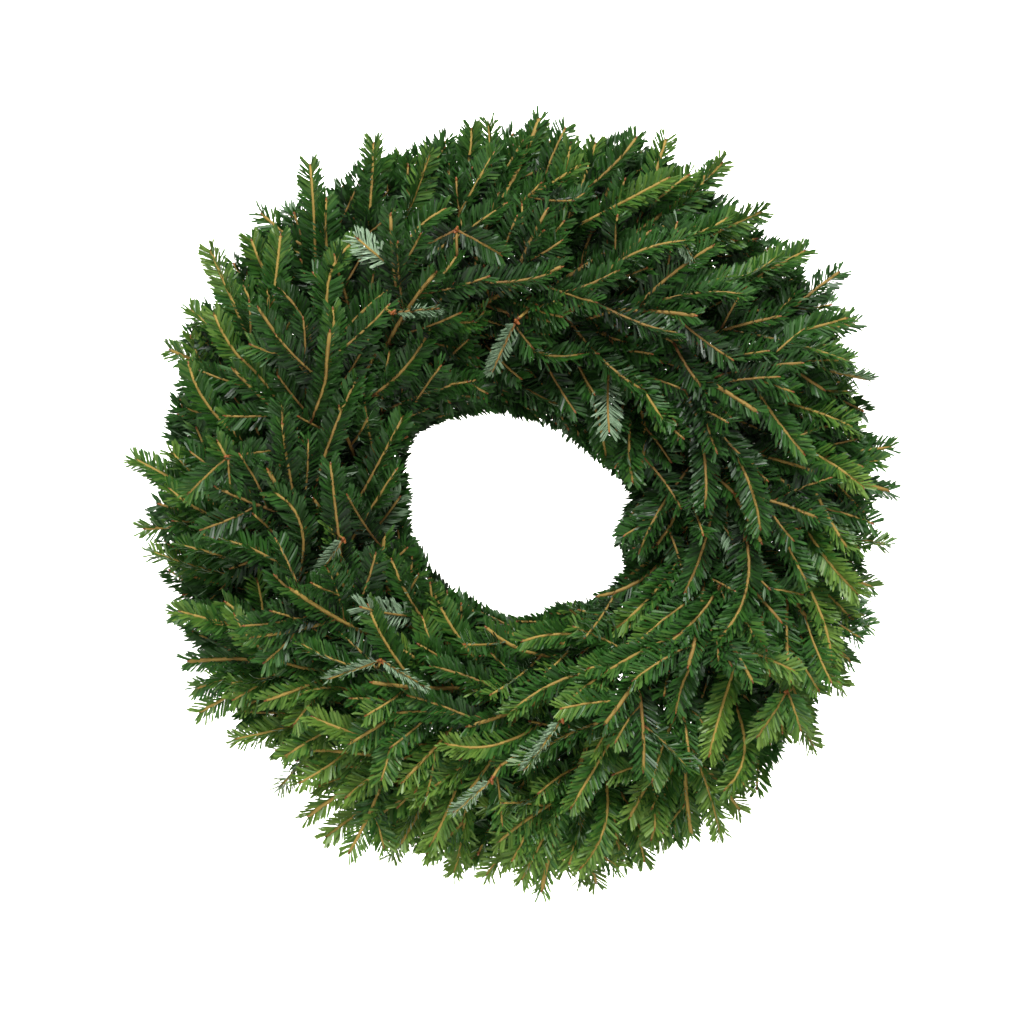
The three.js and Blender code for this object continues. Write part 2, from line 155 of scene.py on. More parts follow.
@dataclass(frozen=True)
class Fork:
    """Twig that stands over the front: its pixel, and its arms as (clock degrees, length).

    Where it has a roll, its arms show their pale undersides, turned by so many degrees.
    """

    x: float
    y: float
    arms: tuple[Pair, ...]
    roll: float | None = None


FORKS = (
    Fork(235, 458, ((82, 36), (228, 44), (176, 38))),
    Fork(385, 655, ((250, 44), (122, 42)), 82),
    Fork(458, 238, ((243, 40), (118, 40))),
    Fork(783, 688, ((212, 44), (160, 34))),
    Fork(516, 326, ((206, 44),), 58),
    Fork(396, 320, ((84, 36),), 78),
    Fork(560, 712, ((216, 50),), 74),
    Fork(492, 772, ((228, 42),), 66),
    Fork(348, 538, ((214, 38),), 62),
    Fork(674, 238, ((150, 28),), 60),
)


class Draw:
    """Repeatable random numbers from 0 to 1, by the same bit mixing as the solids' own."""

    def __init__(self, seed: int) -> None:
        """Starts the sequence at a seed."""
        self.state = seed & 0xFFFFFFFF

    def next(self) -> float:
        """Next number of the sequence.

        Returns:
            A number from 0 to 1.
        """
        mask = 0xFFFFFFFF
        self.state = (self.state + 0x6D2B79F5) & mask
        t = self.state
        t = ((t ^ (t >> 15)) * (1 | t)) & mask
        t = (((t + (((t ^ (t >> 7)) * (61 | t)) & mask)) & mask) ^ t) & mask
        return (t ^ (t >> 14)) / (mask + 1)

    def spread(self, amount: float) -> float:
        """Number from minus amount to plus amount."""
        return amount * (2 * self.next() - 1)


def mix(a: float, b: float, share: float) -> float:
    """Value a share of the way from a to b."""
    return a + (b - a) * share


def unit(vectors: Array) -> Array:
    """Vectors of length 1 in the same directions, along the last axis."""
    return vectors / np.maximum(np.linalg.norm(vectors, axis=-1, keepdims=True), 1e-12)


def tangents(points: Array) -> Array:
    """Direction of a line at each of its points, from the point before it to the one after."""
    return unit(np.vstack([points[1:], points[-1:]]) - np.vstack([points[:1], points[:-1]]))


def run_along(points: Array) -> Array:
    """Distance along a line from its start to each of its points."""
    return np.concatenate([[0.0], np.cumsum(np.linalg.norm(np.diff(points, axis=0), axis=1))])


def curve_axis(root: Array, middle: Array, tip: Array) -> Array:
    """Axis in even steps along the curve from root to tip that leans to middle.

    A point at share t lies at (1 - t) squared of root, 2 t (1 - t) of middle, t squared of tip.

    Args:
        root: where it starts.
        middle: point that it bends towards.
        tip: where it ends.

    Returns:
        The axis points.
    """
    t = np.linspace(0, 1, CURVE_STOPS)[:, None]
    line = (1 - t) ** 2 * root + 2 * t * (1 - t) * middle + t ** 2 * tip
    run = run_along(line)
    stops = np.arange(0, run[-1], AXIS_STEP)
    return np.column_stack([np.interp(stops, run, line[:, axis]) for axis in range(3)])


@dataclass
class Shoot:
    """A twig's axis, with the tangent, across and up directions at each of its points.

    Width is the twig's half width, bare the length at its root without needles, and knot tells of
    buds at its root. Growth and closeness are factors on its needles' length and number.
    """

    points: Array
    tangent: Array
    across: Array
    up: Array
    width: float
    is_leader: bool = False
    bare: float = 6.0
    # Lightness of the shoot's colour: random, with painted light and shade by its place and depth
    shade: float = 0.5
    layer: Layer = Layer.MIDDLE
    seed: int = 0
    knot: bool = False
    growth: float = 1.0
    closeness: float = 1.0

    @classmethod
    def along(cls, points: Array, up_hint: Array, roll: float, width: float,
              is_leader: bool = False) -> "Shoot":
        """Shoot on an axis, its up direction square to the axis and rolled about it.

        Args:
            points: axis points, one row each.
            up_hint: direction that up leans to.
            roll: turn about the axis.
            width: half width of its twig at the root.
            is_leader: whether it is a spray's main shoot.

        Returns:
            The shoot with its frames.
        """
        tangent = tangents(points)
        up = unit(up_hint - (tangent @ up_hint)[:, None] * tangent)
        turn = -math.radians(roll)
        up = up * math.cos(turn) + np.cross(tangent, up) * math.sin(turn)
        return cls(points, tangent, np.cross(tangent, up), up, width, is_leader)

    @property
    def length(self) -> float:
        """Length of the axis."""
        return (len(self.points) - 1) * AXIS_STEP

    @property
    def middle(self) -> Array:
        """Point halfway along the axis."""
        return self.points[len(self.points) // 2]

    def turn_over(self) -> None:
        """Turns the shoot underside up."""
        self.up, self.across = -self.up, -self.across

    def at(self, distances: Array) -> tuple[Array, ...]:
        """Centres and frames at distances along the axis, by linear blending between its points.

        Args:
            distances: distances from the root.

        Returns:
            Centres, tangents, acrosses and ups, one row for each distance.
        """
        # Just short of the last point, so that there is always one after it
        place = np.clip(distances / AXIS_STEP, 0, len(self.points) - 1.001)
        index = place.astype(int)
        share = (place - index)[:, None]
        rows = [values[index] * (1 - share) + values[index + 1] * share
                for values in (self.points, self.tangent, self.across, self.up)]
        return rows[0], unit(rows[1]), unit(rows[2]), unit(rows[3])


Key = tuple[Kind, int]
Sprays = dict[Key, list[Shoot]]


@dataclass
class Layout:
    """Where the ring, stems and shoots lie, by the same rule as the solids."""

    bunch_count: int = 12
    outer_rail: float = 152.4
    inner_rail: float = 128.0
    wire: float = 1.6
    clamp_wire: float = 1.15
    clamp_half_width: float = 12.6
    clamp_corner: float = 3.4
    lower_corner: float = 0.6
    clamp_mouth: float = 1.8
    weld: float = 0.5
    bunch_radius: float = 140.2
    stem_radius: float = 3.1
    stem_pitch: float = 5.5
    stem_front: float = 28.0
    stem_tails: tuple[float, ...] = (-20.0, -25.0, -22.0)
    seat_gap: float = 0.3
    hole_radius: float = 88.0
    # Swells of the hole's edge as (clockwise angle, half width, millimetres outwards)
    hole_swells: tuple[tuple[float, float, float], ...] = (
        (28.0, 54.0, -24.0), (86.0, 9.0, 9.0), (111.0, 8.0, -8.0), (132.0, 20.0, 13.0),
        (182.0, 18.0, 6.0), (228.0, 12.0, 4.0), (297.0, 15.0, 11.0))
    hole_to_axis: float = 8.0
    wall_to_axis: float = 5.0
    core_clearance: float = 6.2
    fork_span: float = 14.0
    tip_reach: float = 6.0
    longest_growth: float = 1.3
    # Bunches that an outer leader's tip lies clockwise of the top of the first bunch
    rim_shift: float = 1.4
    side_twig: float = 1.9
    side_narrowing: float = 0.3
    # Axis points at the root of a leader and of a side shoot that may lie near others
    leader_root: int = 4
    side_root: int = 3
    # How far the solids' drawn values stray: lengths as a share, the rest in degrees
    length_stray: float = 0.07
    heading_stray: float = 7.0
    rise_stray: float = 4.0
    roll_stray: float = 9.0
    side_length_stray: float = 0.12
    side_angle_stray: float = 5.0
    taken: list[Array] = field(default_factory=list)

    def __post_init__(self) -> None:
        """Works out the heights that follow from the wire and stem sizes."""
        self.rail_back = self.wire * math.cos(math.pi / 6)
        self.centre_z = self.wire - self.outer_rail
        self.clamp_base = 2 * self.rail_back + self.clamp_wire - self.weld
        stem_half = self.stem_radius * math.cos(math.pi / 6)
        self.stem_height = self.clamp_base + self.clamp_wire + self.seat_gap + stem_half
        self.clamp_top = self.stem_height + stem_half + self.seat_gap + self.clamp_wire

    def bunch_angle(self, bunch: int) -> float:
        """Clockwise angle of a bunch's clamp from the top, in radians."""
        return (bunch + 0.5) * 2 * math.pi / self.bunch_count

    @staticmethod
    def outward(angle: float) -> Array:
        """Direction away from the hole's centre at a clockwise angle in radians."""
        return np.array([math.sin(angle), 0.0, math.cos(angle)])

    @staticmethod
    def clockwise(angle: float) -> Array:
        """Clockwise direction at a clockwise angle in radians."""
        return np.array([math.cos(angle), 0.0, -math.sin(angle)])

    def flow(self, angle: float, heading: float) -> Array:
        """Direction in the wall plane, turned from outward to clockwise by a heading in radians."""
        return self.outward(angle) * math.cos(heading) + self.clockwise(angle) * math.sin(heading)

    def place(self, radius: float, angle: float, height: float) -> Array:
        """Point at a radius, a clockwise angle in radians and a height off the wall plane."""
        level = np.array([0.0, self.rail_back - height, self.centre_z])
        return self.outward(angle) * radius + level

    def hole_edge(self, points: Array) -> Array:
        """Radius where foliage starts in front of the hole, at each point's clockwise angle.

        It is constant but for some swells in or out, each a broad bell curve about one angle: a
        height times e to the minus cube of the distance in half widths.

        Args:
            points: points whose angles count.

        Returns:
            The radii.
        """
        angle = np.degrees(np.arctan2(points[..., 0], points[..., 2] - self.centre_z))
        edge = np.full(angle.shape, self.hole_radius)
        for middle, width, swell in self.hole_swells:
            away = np.abs((angle - middle + 180) % 360 - 180)
            edge = edge + swell * np.exp(-(away / width) ** 3)
        return edge

    def rim(self, angle: Array | float) -> Array:
        """Radius of the outline at a clockwise angle in radians, between the leaders' reaches."""
        turns = np.asarray(angle) / (2 * math.pi) * self.bunch_count
        return np.interp((turns - self.rim_shift) % self.bunch_count,
                         np.arange(self.bunch_count + 1), RIM_REACH + RIM_REACH[:1])

    def radius_of(self, points: Array) -> Array:
        """Distances of points from the hole's axis."""
        return np.hypot(points[..., 0], points[..., 2] - self.centre_z)

    def height_of(self, points: Array) -> Array:
        """Heights of points off the wall plane."""
        return self.rail_back - points[..., 1]

    def stem_end(self, bunch: int, row: int, along: float) -> Array:
        """Point on one stem's axis, at a distance along it from its clamp.

        Args:
            bunch: its number from 0.
            row: the stem's row in the clamp.
            along: distance clockwise from the clamp.

        Returns:
            The point.
        """
        angle = self.bunch_angle(bunch)
        start = self.place(self.bunch_radius - row * self.stem_pitch, angle, self.stem_height)
        return start + self.clockwise(angle) * along

    def clamp_corners(self) -> list[Pair]:
        """Half of a clamp's bent wire as (side, height), from its mouth to its welded base."""
        bend = self.clamp_corner * self.lower_corner
        return [(self.clamp_mouth, self.clamp_top),
                (self.clamp_half_width - self.clamp_corner, self.clamp_top),
                (self.clamp_half_width, self.clamp_top - self.clamp_corner),
                (self.clamp_half_width, self.clamp_base + bend),
                (self.clamp_half_width - bend, self.clamp_base)]

    def hardware(self) -> Array:
        """Points of the clamps and stems that foliage keeps clear of.

        Returns:
            The points.
        """
        points = []
        for bunch in range(self.bunch_count):
            angle = self.bunch_angle(bunch)
            for side, height in self.clamp_corners():
                points += [self.place(self.bunch_radius + side, angle, height),
                           self.place(self.bunch_radius - side, angle, height)]
            for row, tail in zip(STEM_ROWS, self.stem_tails):
                points += [self.stem_end(bunch, row, along)
                           for along in np.arange(tail, self.stem_front - AXIS_STEP, AXIS_STEP)]
        return np.array(points)

    def leader_points(self, start: Array, length: float, heading: Pair, rise: Pair,
                      reach: float, lean: Pair) -> Array:
        """Axis of a leader: short steps that turn evenly from one heading and rise to another.

        Args:
            start: root of the leader.
            length: nominal length.
            heading: turn from outward towards clockwise, at root and tip.
            rise: angle off the wall plane, at root and tip.
            reach: radius that the tip grows to, or 0 for the nominal length.
            lean: turns added to heading and rise.

        Returns:
            The axis points.
        """
        points = [start]
        nominal = math.floor(length / AXIS_STEP + 0.5)
        steps = math.floor(nominal * self.longest_growth + 0.5) if reach else nominal
        for i in range(steps):
            at = points[i]
            if reach and math.hypot(at[0], at[2] - self.centre_z) > reach - self.tip_reach:
                break
            share = min(i / nominal, 1)
            turn = math.radians(mix(*heading, share) + lean[0] * share)
            lift = math.radians(mix(*rise, share) + lean[1] * (1 - share))
            angle = math.atan2(at[0], at[2] - self.centre_z)
            step = (self.outward(angle) * math.cos(turn) * math.cos(lift)
                    + self.clockwise(angle) * math.sin(turn) * math.cos(lift)
                    + FRONT * math.sin(lift))
            points.append(at + AXIS_STEP * step)
        return np.array(points)

    def side_points(self, parent: Shoot, index: int, side: int, angle: float, length: float,
                    lift: float, lean: Pair = (0, 0)) -> Array:
        """Axis of a side shoot: it leaves its parent at an angle that narrows towards its tip.

        Args:
            parent: shoot that it grows from.
            index: parent's axis point that it starts at.
            side: 1 for the parent's across direction, -1 for the other.
            angle: turn from the parent's tangent.
            length: its length.
            lift: slope along the parent's up direction.
            lean: turns added to angle and lift.

        Returns:
            The axis points.
        """
        steps = math.floor(length / AXIS_STEP + 0.5)
        slope = lift + math.tan(math.radians(lean[1]))
        turn = math.radians(angle + lean[0]) * (1 - self.side_narrowing * np.arange(steps) / steps)
        ways = unit(np.cos(turn)[:, None] * parent.tangent[index]
                    + side * np.sin(turn)[:, None] * parent.across[index]
                    + slope * parent.up[index])
        return parent.points[index] + np.vstack([np.zeros(3), np.cumsum(ways, 0) * AXIS_STEP])

    def lean_clear(self, make: Callable[[Pair], Array], skip: int, taken: Array) -> Array | None:
        """First axis that keeps clear of what is taken, off the wall and out of the hole.

        Args:
            make: function from a lean to axis points.
            skip: number of points at the root that aren't tested.
            taken: points already taken.

        Returns:
            The axis points, or None where no lean is clear.
        """
        for lean in LEANS:
            points = make(lean)
            free = points[skip:]
            if (np.all(self.height_of(free) > self.wall_to_axis)
                    and np.all(self.radius_of(free) > self.hole_radius + self.hole_to_axis)):
                gaps = ((free[:, None, :] - taken[None, :, :]) ** 2).sum(-1)
                if math.sqrt(gaps.min()) > self.core_clearance:
                    return points
        return None

    def plan_spray(self, kind: Kind, bunch: int) -> list[Shoot]:
        """Shoots of one spray: its leader and the side shoots that find a clear way.

        Args:
            kind: its place in the bunch.
            bunch: its number from 0.

        Returns:
            The shoots, leader first.
        """
        habit = HABITS[kind]
        draw = Draw(Seed.SOLIDS * (bunch + 1) + kind.value + 2)
        reach = RIM_REACH[bunch] if kind is Kind.OUTER else 0
        length = habit.length * (1 + draw.spread(self.length_stray))
        turned = draw.spread(self.heading_stray)
        lifted = draw.spread(self.rise_stray)
        roll = habit.roll + draw.spread(self.roll_stray)
        heading = (habit.heading[0] + turned, habit.heading[1] + turned)
        rise = (habit.rise[0] + lifted, habit.rise[1] + lifted)
        start = self.stem_end(bunch, kind.value, self.stem_front + self.seat_gap)
        taken = np.vstack(self.taken)
        leader_axis = partial(self.leader_points, start, length, heading, rise, reach)
        axis = self.lean_clear(leader_axis, self.leader_root, taken)
        if axis is None:
            axis = leader_axis(LEANS[0])
        leader = Shoot.along(axis, FRONT, roll, habit.width, True)
        shoots = [leader]
        own = [axis]
        for side in habit.sides:
            index = math.floor(side.share * (len(axis) - 1) + 0.5)
            grown = side.length * (1 + draw.spread(self.side_length_stray))
            opened = side.angle + draw.spread(self.side_angle_stray)
            mine = np.vstack(own)
            far = mine[np.linalg.norm(mine - axis[index], axis=1) > self.fork_span]
            make = partial(self.side_points, leader, index, side.side, opened, grown, side.lift)
            points = self.lean_clear(make, self.side_root, np.vstack([taken, far]))
            side_roll = draw.spread(self.roll_stray)
            if points is not None:
                shoots.append(Shoot.along(points, leader.up[index], side_roll, self.side_twig))
                own.append(points[self.side_root:])
        return shoots

    def plan(self) -> Sprays:
        """All sprays' shoots by kind and bunch, planned in the solids' order.

        Returns:
            The sprays.
        """
        self.taken = [self.hardware()]
        sprays = {}
        for kind in (Kind.OUTER, Kind.INNER, Kind.CREST):
            for bunch in range(self.bunch_count):
                sprays[kind, bunch] = self.plan_spray(kind, bunch)
                self.taken += [shoot.points for shoot in sprays[kind, bunch]]
        return sprays


@dataclass(frozen=True)
class Run:
    """How a shoot runs through its middle.

    Its root is sought so far back and so low, its tip lies so far ahead and stands so far to the
    front, and its heading strays by so many degrees.
    """

    back: Pair
    sink: float
    ahead: Pair
    stand: Pair
    stray: float


@dataclass(frozen=True)
class Spot:
    """Place in the wall plane, with the flow direction and the foliage's height there."""

    place: Array
    flow: Array
    crown: float


@dataclass
class Filler:
    """The many lesser shoots between those of the solids, which close the foliage."""

    layout: Layout
    front_limit: float = 97.0
    rim_margin: Pair = (6.0, 30.0)
    hole_margin: float = 0.36
    shortest: float = 26.0
    flip_share: float = 0.03
    low_share: float = 0.72
    # Radii with the foliage's heading and height at each of them
    flow_radii: tuple[float, ...] = (90.0, 125.0, 160.0, 200.0, 240.0, 295.0)
    flow_headings: tuple[float, ...] = (122.0, 106.0, 84.0, 60.0, 42.0, 26.0)
    crown: tuple[float, ...] = (34.0, 62.0, 84.0, 80.0, 60.0, 34.0)
    # Fill shoots: along the leader from one share of it to another, and a pair on each side shoot
    fill_span: Pair = (0.2, 0.93)
    fill_length: Pair = (52.0, 82.0)
    fill_taper: Pair = (1.1, 0.75)
    fill_angle: Pair = (34.0, 54.0)
    twin_spans: tuple[Pair, Pair] = ((0.25, 0.4), (0.42, 0.6))
    twin_length: Pair = (34.0, 52.0)
    twin_lift: Pair = (-0.15, 0.35)
    twin_angle: Pair = (36.0, 50.0)
    fill_jitter: float = 0.9
    # How far a fill shoot's upper side faces as its parent's does, to the front, and up
    facing: tuple[float, float, float] = (0.5, 0.4, 0.2)
    fill_roll: float = 14.0
    fill_twig: float = 1.25
    front_twig: float = 1.7
    # Tips out of the outline: their height, heading, distance from the root, and bend
    tip_needles: float = 4.0
    tip_height: Pair = (24.0, 46.0)
    tip_heading: Pair = (4.0, 30.0)
    tip_back: Pair = (76.0, 92.0)
    tip_bend: Pair = (42.0, 5.0)
    tip_roll: float = 32.0
    # Forks: their stand over the foliage, and their arms' droop, bow, stray roll and bare root
    fork_stand: float = 13.0
    fork_margin: float = 3.0
    fork_twig: float = 1.5
    arm_droop: Pair = (-8.0, -2.0)
    arm_bow: float = 5.0
    arm_stray: float = 5.0
    arm_bare: float = 3.0
    pale_growth: float = 0.62
    pale_closeness: float = 1.6
    # Front cover: rows between hole and rim, pitch along them, and how each shoot lies
    cover_rows: tuple[float, ...] = (0.06, 0.24, 0.42, 0.6, 0.78, 0.93)
    cover_radii: Pair = (92.0, 300.0)
    cover_margins: Pair = (12.0, 8.0)
    cover_pitch: float = 58.0
    cover_jitter: float = 0.25
    cover_rise: float = 6.0
    cover_bow: float = 11.0
    cover_run: Run = Run((38.0, 56.0), 16.0, (28.0, 44.0), (-8.0, 4.0), 9.0)
    sun_lean: float = 0.55
    # Closing shoots: from a lowest height to a share of the foliage's
    most_closing: int = 900
    open_share: float = 0.02
    closing_low: float = 7.0
    closing_high: float = 0.4
    closing_run: Run = Run((26.0, 40.0), 4.0, (24.0, 36.0), (-3.0, 6.0), 14.0)

    def crown_at(self, radius: float) -> float:
        """Height of the foliage over the wall plane at a radius."""
        return float(np.interp(radius, self.flow_radii, self.crown))

    def trimmed(self, points: Array, margin: float) -> Array | None:
        """Axis cut where it would leave the wreath's own space.

        Args:
            points: the axis.
            margin: how far inside the rim it stays, and a share of that outside the hole.

        Returns:
            The cut axis, or None where too little is left.
        """
        layout = self.layout
        radius = layout.radius_of(points)
        height = layout.height_of(points)
        angle = np.arctan2(points[:, 0], points[:, 2] - layout.centre_z)
        inside = ((radius > layout.hole_edge(points) + self.hole_margin * margin)
                  & (radius < layout.rim(angle) - margin)
                  & (height > layout.wall_to_axis) & (height < self.front_limit))
        keep = len(points) if inside[1:].all() else 1 + int(np.argmin(inside[1:]))
        return points[:keep] if (keep - 1) * AXIS_STEP >= self.shortest else None

    def grow(self, kind: Kind, bunch: int, shoots: list[Shoot]) -> list[Shoot]:
        """Fill shoots of one spray: along its leader, and up to two on each side shoot.

        Args:
            kind: its place in the bunch.
            bunch: its number from 0.
            shoots: the spray's own shoots, leader first.

        Returns:
            The added shoots.
        """
        habit = HABITS[kind]
        rng = np.random.default_rng(Seed.FILL + 50 * bunch + kind.value)
        added = []
        for i in range(habit.fill):
            share = mix(*self.fill_span, (i + rng.uniform(0, self.fill_jitter)) / habit.fill)
            length = rng.uniform(*self.fill_length) * mix(*self.fill_taper, share)
            lift = rng.uniform(*habit.fill_lift)
            added.append(self.branch(shoots[0], share, 1 if i % 2 else -1,
                                     rng.uniform(*self.fill_angle), length, lift, rng))
        for parent in shoots[1:]:
            shares = [rng.uniform(*span) for span in self.twin_spans]
            for share, side in zip(shares, (1, -1)):
                length = rng.uniform(*self.twin_length)
                lift = rng.uniform(*self.twin_lift)
                added.append(self.branch(parent, share, side, rng.uniform(*self.twin_angle), length,
                                         lift, rng))
        return [shoot for shoot in added if shoot is not None]

    def branch(self, parent: Shoot, share: float, side: int, angle: float, length: float,
               lift: float, rng: Random) -> Shoot | None:
        """One fill shoot, whose upper side faces as its parent's does, and to the front and up.

        Args:
            parent: shoot that it grows from.
            share: place along the parent from 0 to 1.
            side: 1 or -1.
            angle: turn from the parent's tangent.
            length: its length.
            lift: slope along the parent's up direction.
            rng: random source.

        Returns:
            The shoot, or None where it has no room.
        """
        index = max(2, round(share * (len(parent.points) - 1)))
        points = self.layout.side_points(parent, index, side, angle, length, lift)
        with_parent, to_front, upwards = self.facing
        return self.dressed(
            points, with_parent * parent.up[index] + to_front * FRONT + upwards * UPWARD, rng)

    def dressed(self, points: Array, up_hint: Array, rng: Random,
                layer: Layer = Layer.MIDDLE) -> Shoot | None:
        """Fill shoot on an axis: trimmed, rolled a little, and now and then turned underside up.

        Args:
            points: its axis.
            up_hint: direction that its upper side leans to.
            rng: random source.
            layer: its depth; a middle one that lies low counts as back.

        Returns:
            The shoot, or None where it has no room.
        """
        roll = rng.normal(0, self.fill_roll)
        flipped = rng.random() < self.flip_share and layer is not Layer.FRONT
        points = self.trimmed(points, rng.uniform(*self.rim_margin))
        if points is None:
            return None
        shoot = Shoot.along(points, up_hint, roll,
                            self.front_twig if layer is Layer.FRONT else self.fill_twig)
        crown = self.crown_at(self.layout.radius_of(shoot.middle))
        low = self.layout.height_of(shoot.middle) < self.low_share * crown
        shoot.layer = Layer.BACK if low and layer is Layer.MIDDLE else layer
        if flipped:
            shoot.turn_over()
        return shoot

    def add_all(self, sprays: Sprays, needles: "Needles") -> None:
        """Adds every fill shoot: side growth, tips, the front cover, forks, then the closing ones.

        Args:
            sprays: all shoots by kind and bunch.
            needles: gives the needles that a shoot will bear.
        """
        for (kind, bunch), shoots in sprays.items():
            shoots += self.grow(kind, bunch, shoots)
        thicket = Thicket(sprays)
        self.point_out(thicket)
        covering = self.cover(thicket)
        self.add_forks(thicket)
        for number, shoot in enumerate(shoot for shoots in sprays.values() for shoot in shoots):
            shoot.seed = number
        closing = self.close(thicket, needles)
        LOG.info("%d shoots cover the front and %d close gaps", covering, closing)

    def point_out(self, thicket: "Thicket") -> None:
        """Adds the shoots whose tips stand out of the outline.

        Args:
            thicket: all shoots so far.
        """
        rng = np.random.default_rng(Seed.TIPS)
        for degrees, reach in TIPS:
            angle = math.radians(degrees)
            tip = self.layout.place(reach - self.tip_needles, angle, rng.uniform(*self.tip_height))
            flow = self.layout.flow(angle, math.radians(rng.uniform(*self.tip_heading)))
            key, root = thicket.nearest(tip - flow * rng.uniform(*self.tip_back))
            bend = tip - flow * self.tip_bend[0] + FRONT * self.tip_bend[1]
            shoot = Shoot.along(curve_axis(root, bend, tip), FRONT, rng.normal(0, self.tip_roll),
                                self.front_twig)
            shoot.layer = Layer.FRONT
            thicket.add(key, shoot)

    def add_forks(self, thicket: "Thicket") -> None:
        """Adds the twigs that stand over the front, each on a bare stalk from the nearest shoot.

        Args:
            thicket: all shoots so far.
        """
        layout = self.layout
        rng = np.random.default_rng(Seed.FORKS)
        for fork in FORKS:
            x, z = (fork.x - HOLE_PIXEL[0]) * PIXEL_MM, (HOLE_PIXEL[1] - fork.y) * PIXEL_MM
            height = min(self.crown_at(math.hypot(x, z)) + self.fork_stand,
                         self.front_limit - self.fork_margin)
            place = np.array([x, layout.rail_back - height, z + layout.centre_z])
            key, root = thicket.nearest(place)
            stalk = Shoot.along(curve_axis(root, 0.5 * (root + place), place + 0.5 * FRONT),
                                layout.outward(0.3), 0.0, self.fork_twig)
            stalk.bare = stalk.length + 1
            parts = [stalk] if len(stalk.points) > 2 else []
            for degrees, length in fork.arms:
                way = layout.outward(math.radians(degrees))
                tip = place + way * length + FRONT * rng.uniform(*self.arm_droop)
                bow = place + 0.5 * length * way + FRONT * self.arm_bow
                arm = Shoot.along(curve_axis(place, bow, tip), FRONT,
                                  rng.normal(0, self.arm_stray) + (fork.roll or 0), self.fork_twig)
                arm.bare = self.arm_bare
                if fork.roll is not None:
                    arm.turn_over()
                    arm.growth, arm.closeness = self.pale_growth, self.pale_closeness
                parts.append(arm)
            parts[-1].knot = True
            for shoot in parts:
                shoot.layer = Layer.FRONT
                thicket.add(key, shoot)

    def spots(self, rng: Random) -> list[Spot]:
        """Spots of the front cover on rows from the hole to the rim, each with the local flow.

        Args:
            rng: random source.

        Returns:
            The spots.
        """
        layout = self.layout
        jitter = self.cover_jitter
        found = []
        for row in self.cover_rows:
            count = int(2 * math.pi * mix(*self.cover_radii, row) / self.cover_pitch)
            start = rng.random()
            for i in range(count):
                angle = 2 * math.pi * (i + start + rng.uniform(-jitter, jitter)) / count
                # Any point at the angle gives the edge there
                edge = float(layout.hole_edge(layout.outward(angle) + UPWARD * layout.centre_z))
                radius = mix(edge + self.cover_margins[0],
                             float(layout.rim(angle)) - self.cover_margins[1], row)
                found.append(self.spot_at(radius, angle, rng.normal(0, self.cover_run.stray)))
        return found

    def spot_at(self, radius: float, angle: float, turned: float) -> Spot:
        """Spot at a radius and clockwise angle in radians, its flow turned by some degrees."""
        heading = float(np.interp(radius, self.flow_radii, self.flow_headings)) + turned
        return Spot(self.layout.place(radius, angle, 0.0),
                    self.layout.flow(angle, math.radians(heading)), self.crown_at(radius))

    @staticmethod
    def ends(thicket: "Thicket", spot: Spot, middle: Array, run: Run,
             rng: Random) -> tuple[Key, Array, Array]:
        """Ends of a shoot that follows the flow: its root on the nearest shoot behind, and its tip.

        Args:
            thicket: all shoots so far.
            spot: gives the flow.
            middle: point that the shoot runs through.
            run: how far its ends lie.
            rng: random source.

        Returns:
            The spray that it joins, its root and its tip.
        """
        key, root = thicket.nearest(middle - spot.flow * rng.uniform(*run.back) - FRONT * run.sink)
        return key, root, (middle + spot.flow * rng.uniform(*run.ahead)
                           + FRONT * rng.uniform(*run.stand))

    def cover(self, thicket: "Thicket") -> int:
        """Adds long shoots over the front, which lie along the flow like shingles.

        Args:
            thicket: all shoots so far.

        Returns:
            How many were added.
        """
        rng = np.random.default_rng(Seed.COVER)
        added = 0
        for spot in self.spots(rng):
            rise = spot.crown + rng.uniform(-self.cover_rise, self.cover_rise)
            middle = spot.place + FRONT * rise
            key, root, tip = self.ends(thicket, spot, middle, self.cover_run, rng)
            bow = np.cross(spot.flow, FRONT) * rng.normal(0, self.cover_bow)
            shoot = self.dressed(curve_axis(root, middle + bow, tip),
                                 FRONT + self.sun_lean * UPWARD, rng, Layer.FRONT)
            if shoot is not None:
                thicket.add(key, shoot)
                added += 1
        return added

    def close(self, thicket: "Thicket", needles: "Needles") -> int:
        """Adds low shoots wherever the wall would still show through the foliage.

        Each new shoot runs through the most open place of a map of the front, and the map is kept
        current, until no place is more open than a set share or enough shoots were tried.

        Args:
            thicket: all shoots so far.
            needles: gives the needles that a shoot will bear.

        Returns:
            How many were added.
        """
        rng = np.random.default_rng(Seed.CLOSING)
        run = self.closing_run
        openness = Openness(self.layout, needles)
        for shoots in thicket.sprays.values():
            for shoot in shoots:
                openness.cover(shoot)
        added = 0
        for _ in range(self.most_closing):
            share, radius, angle = openness.widest()
            if share < self.open_share:
                break
            spot = self.spot_at(radius, angle, rng.normal(0, run.stray))
            middle = spot.place + FRONT * mix(self.closing_low, self.closing_high * spot.crown,
                                              rng.uniform(0, 1))
            key, root, tip = self.ends(thicket, spot, middle, run, rng)
            # The curve leans to a point that makes it pass near its middle
            lean = 1.5 * middle - 0.25 * (root + tip)
            shoot = self.dressed(curve_axis(root, lean, tip), FRONT, rng, Layer.BACK)
            openness.spend(radius, angle)
            if shoot is not None:
                shoot.seed = Seed.CLOSING_SHOOTS + added
                openness.cover(shoot)
                thicket.add(key, shoot)
                added += 1
        LOG.info("widest open share left: %.3f", openness.widest()[0])
        return added


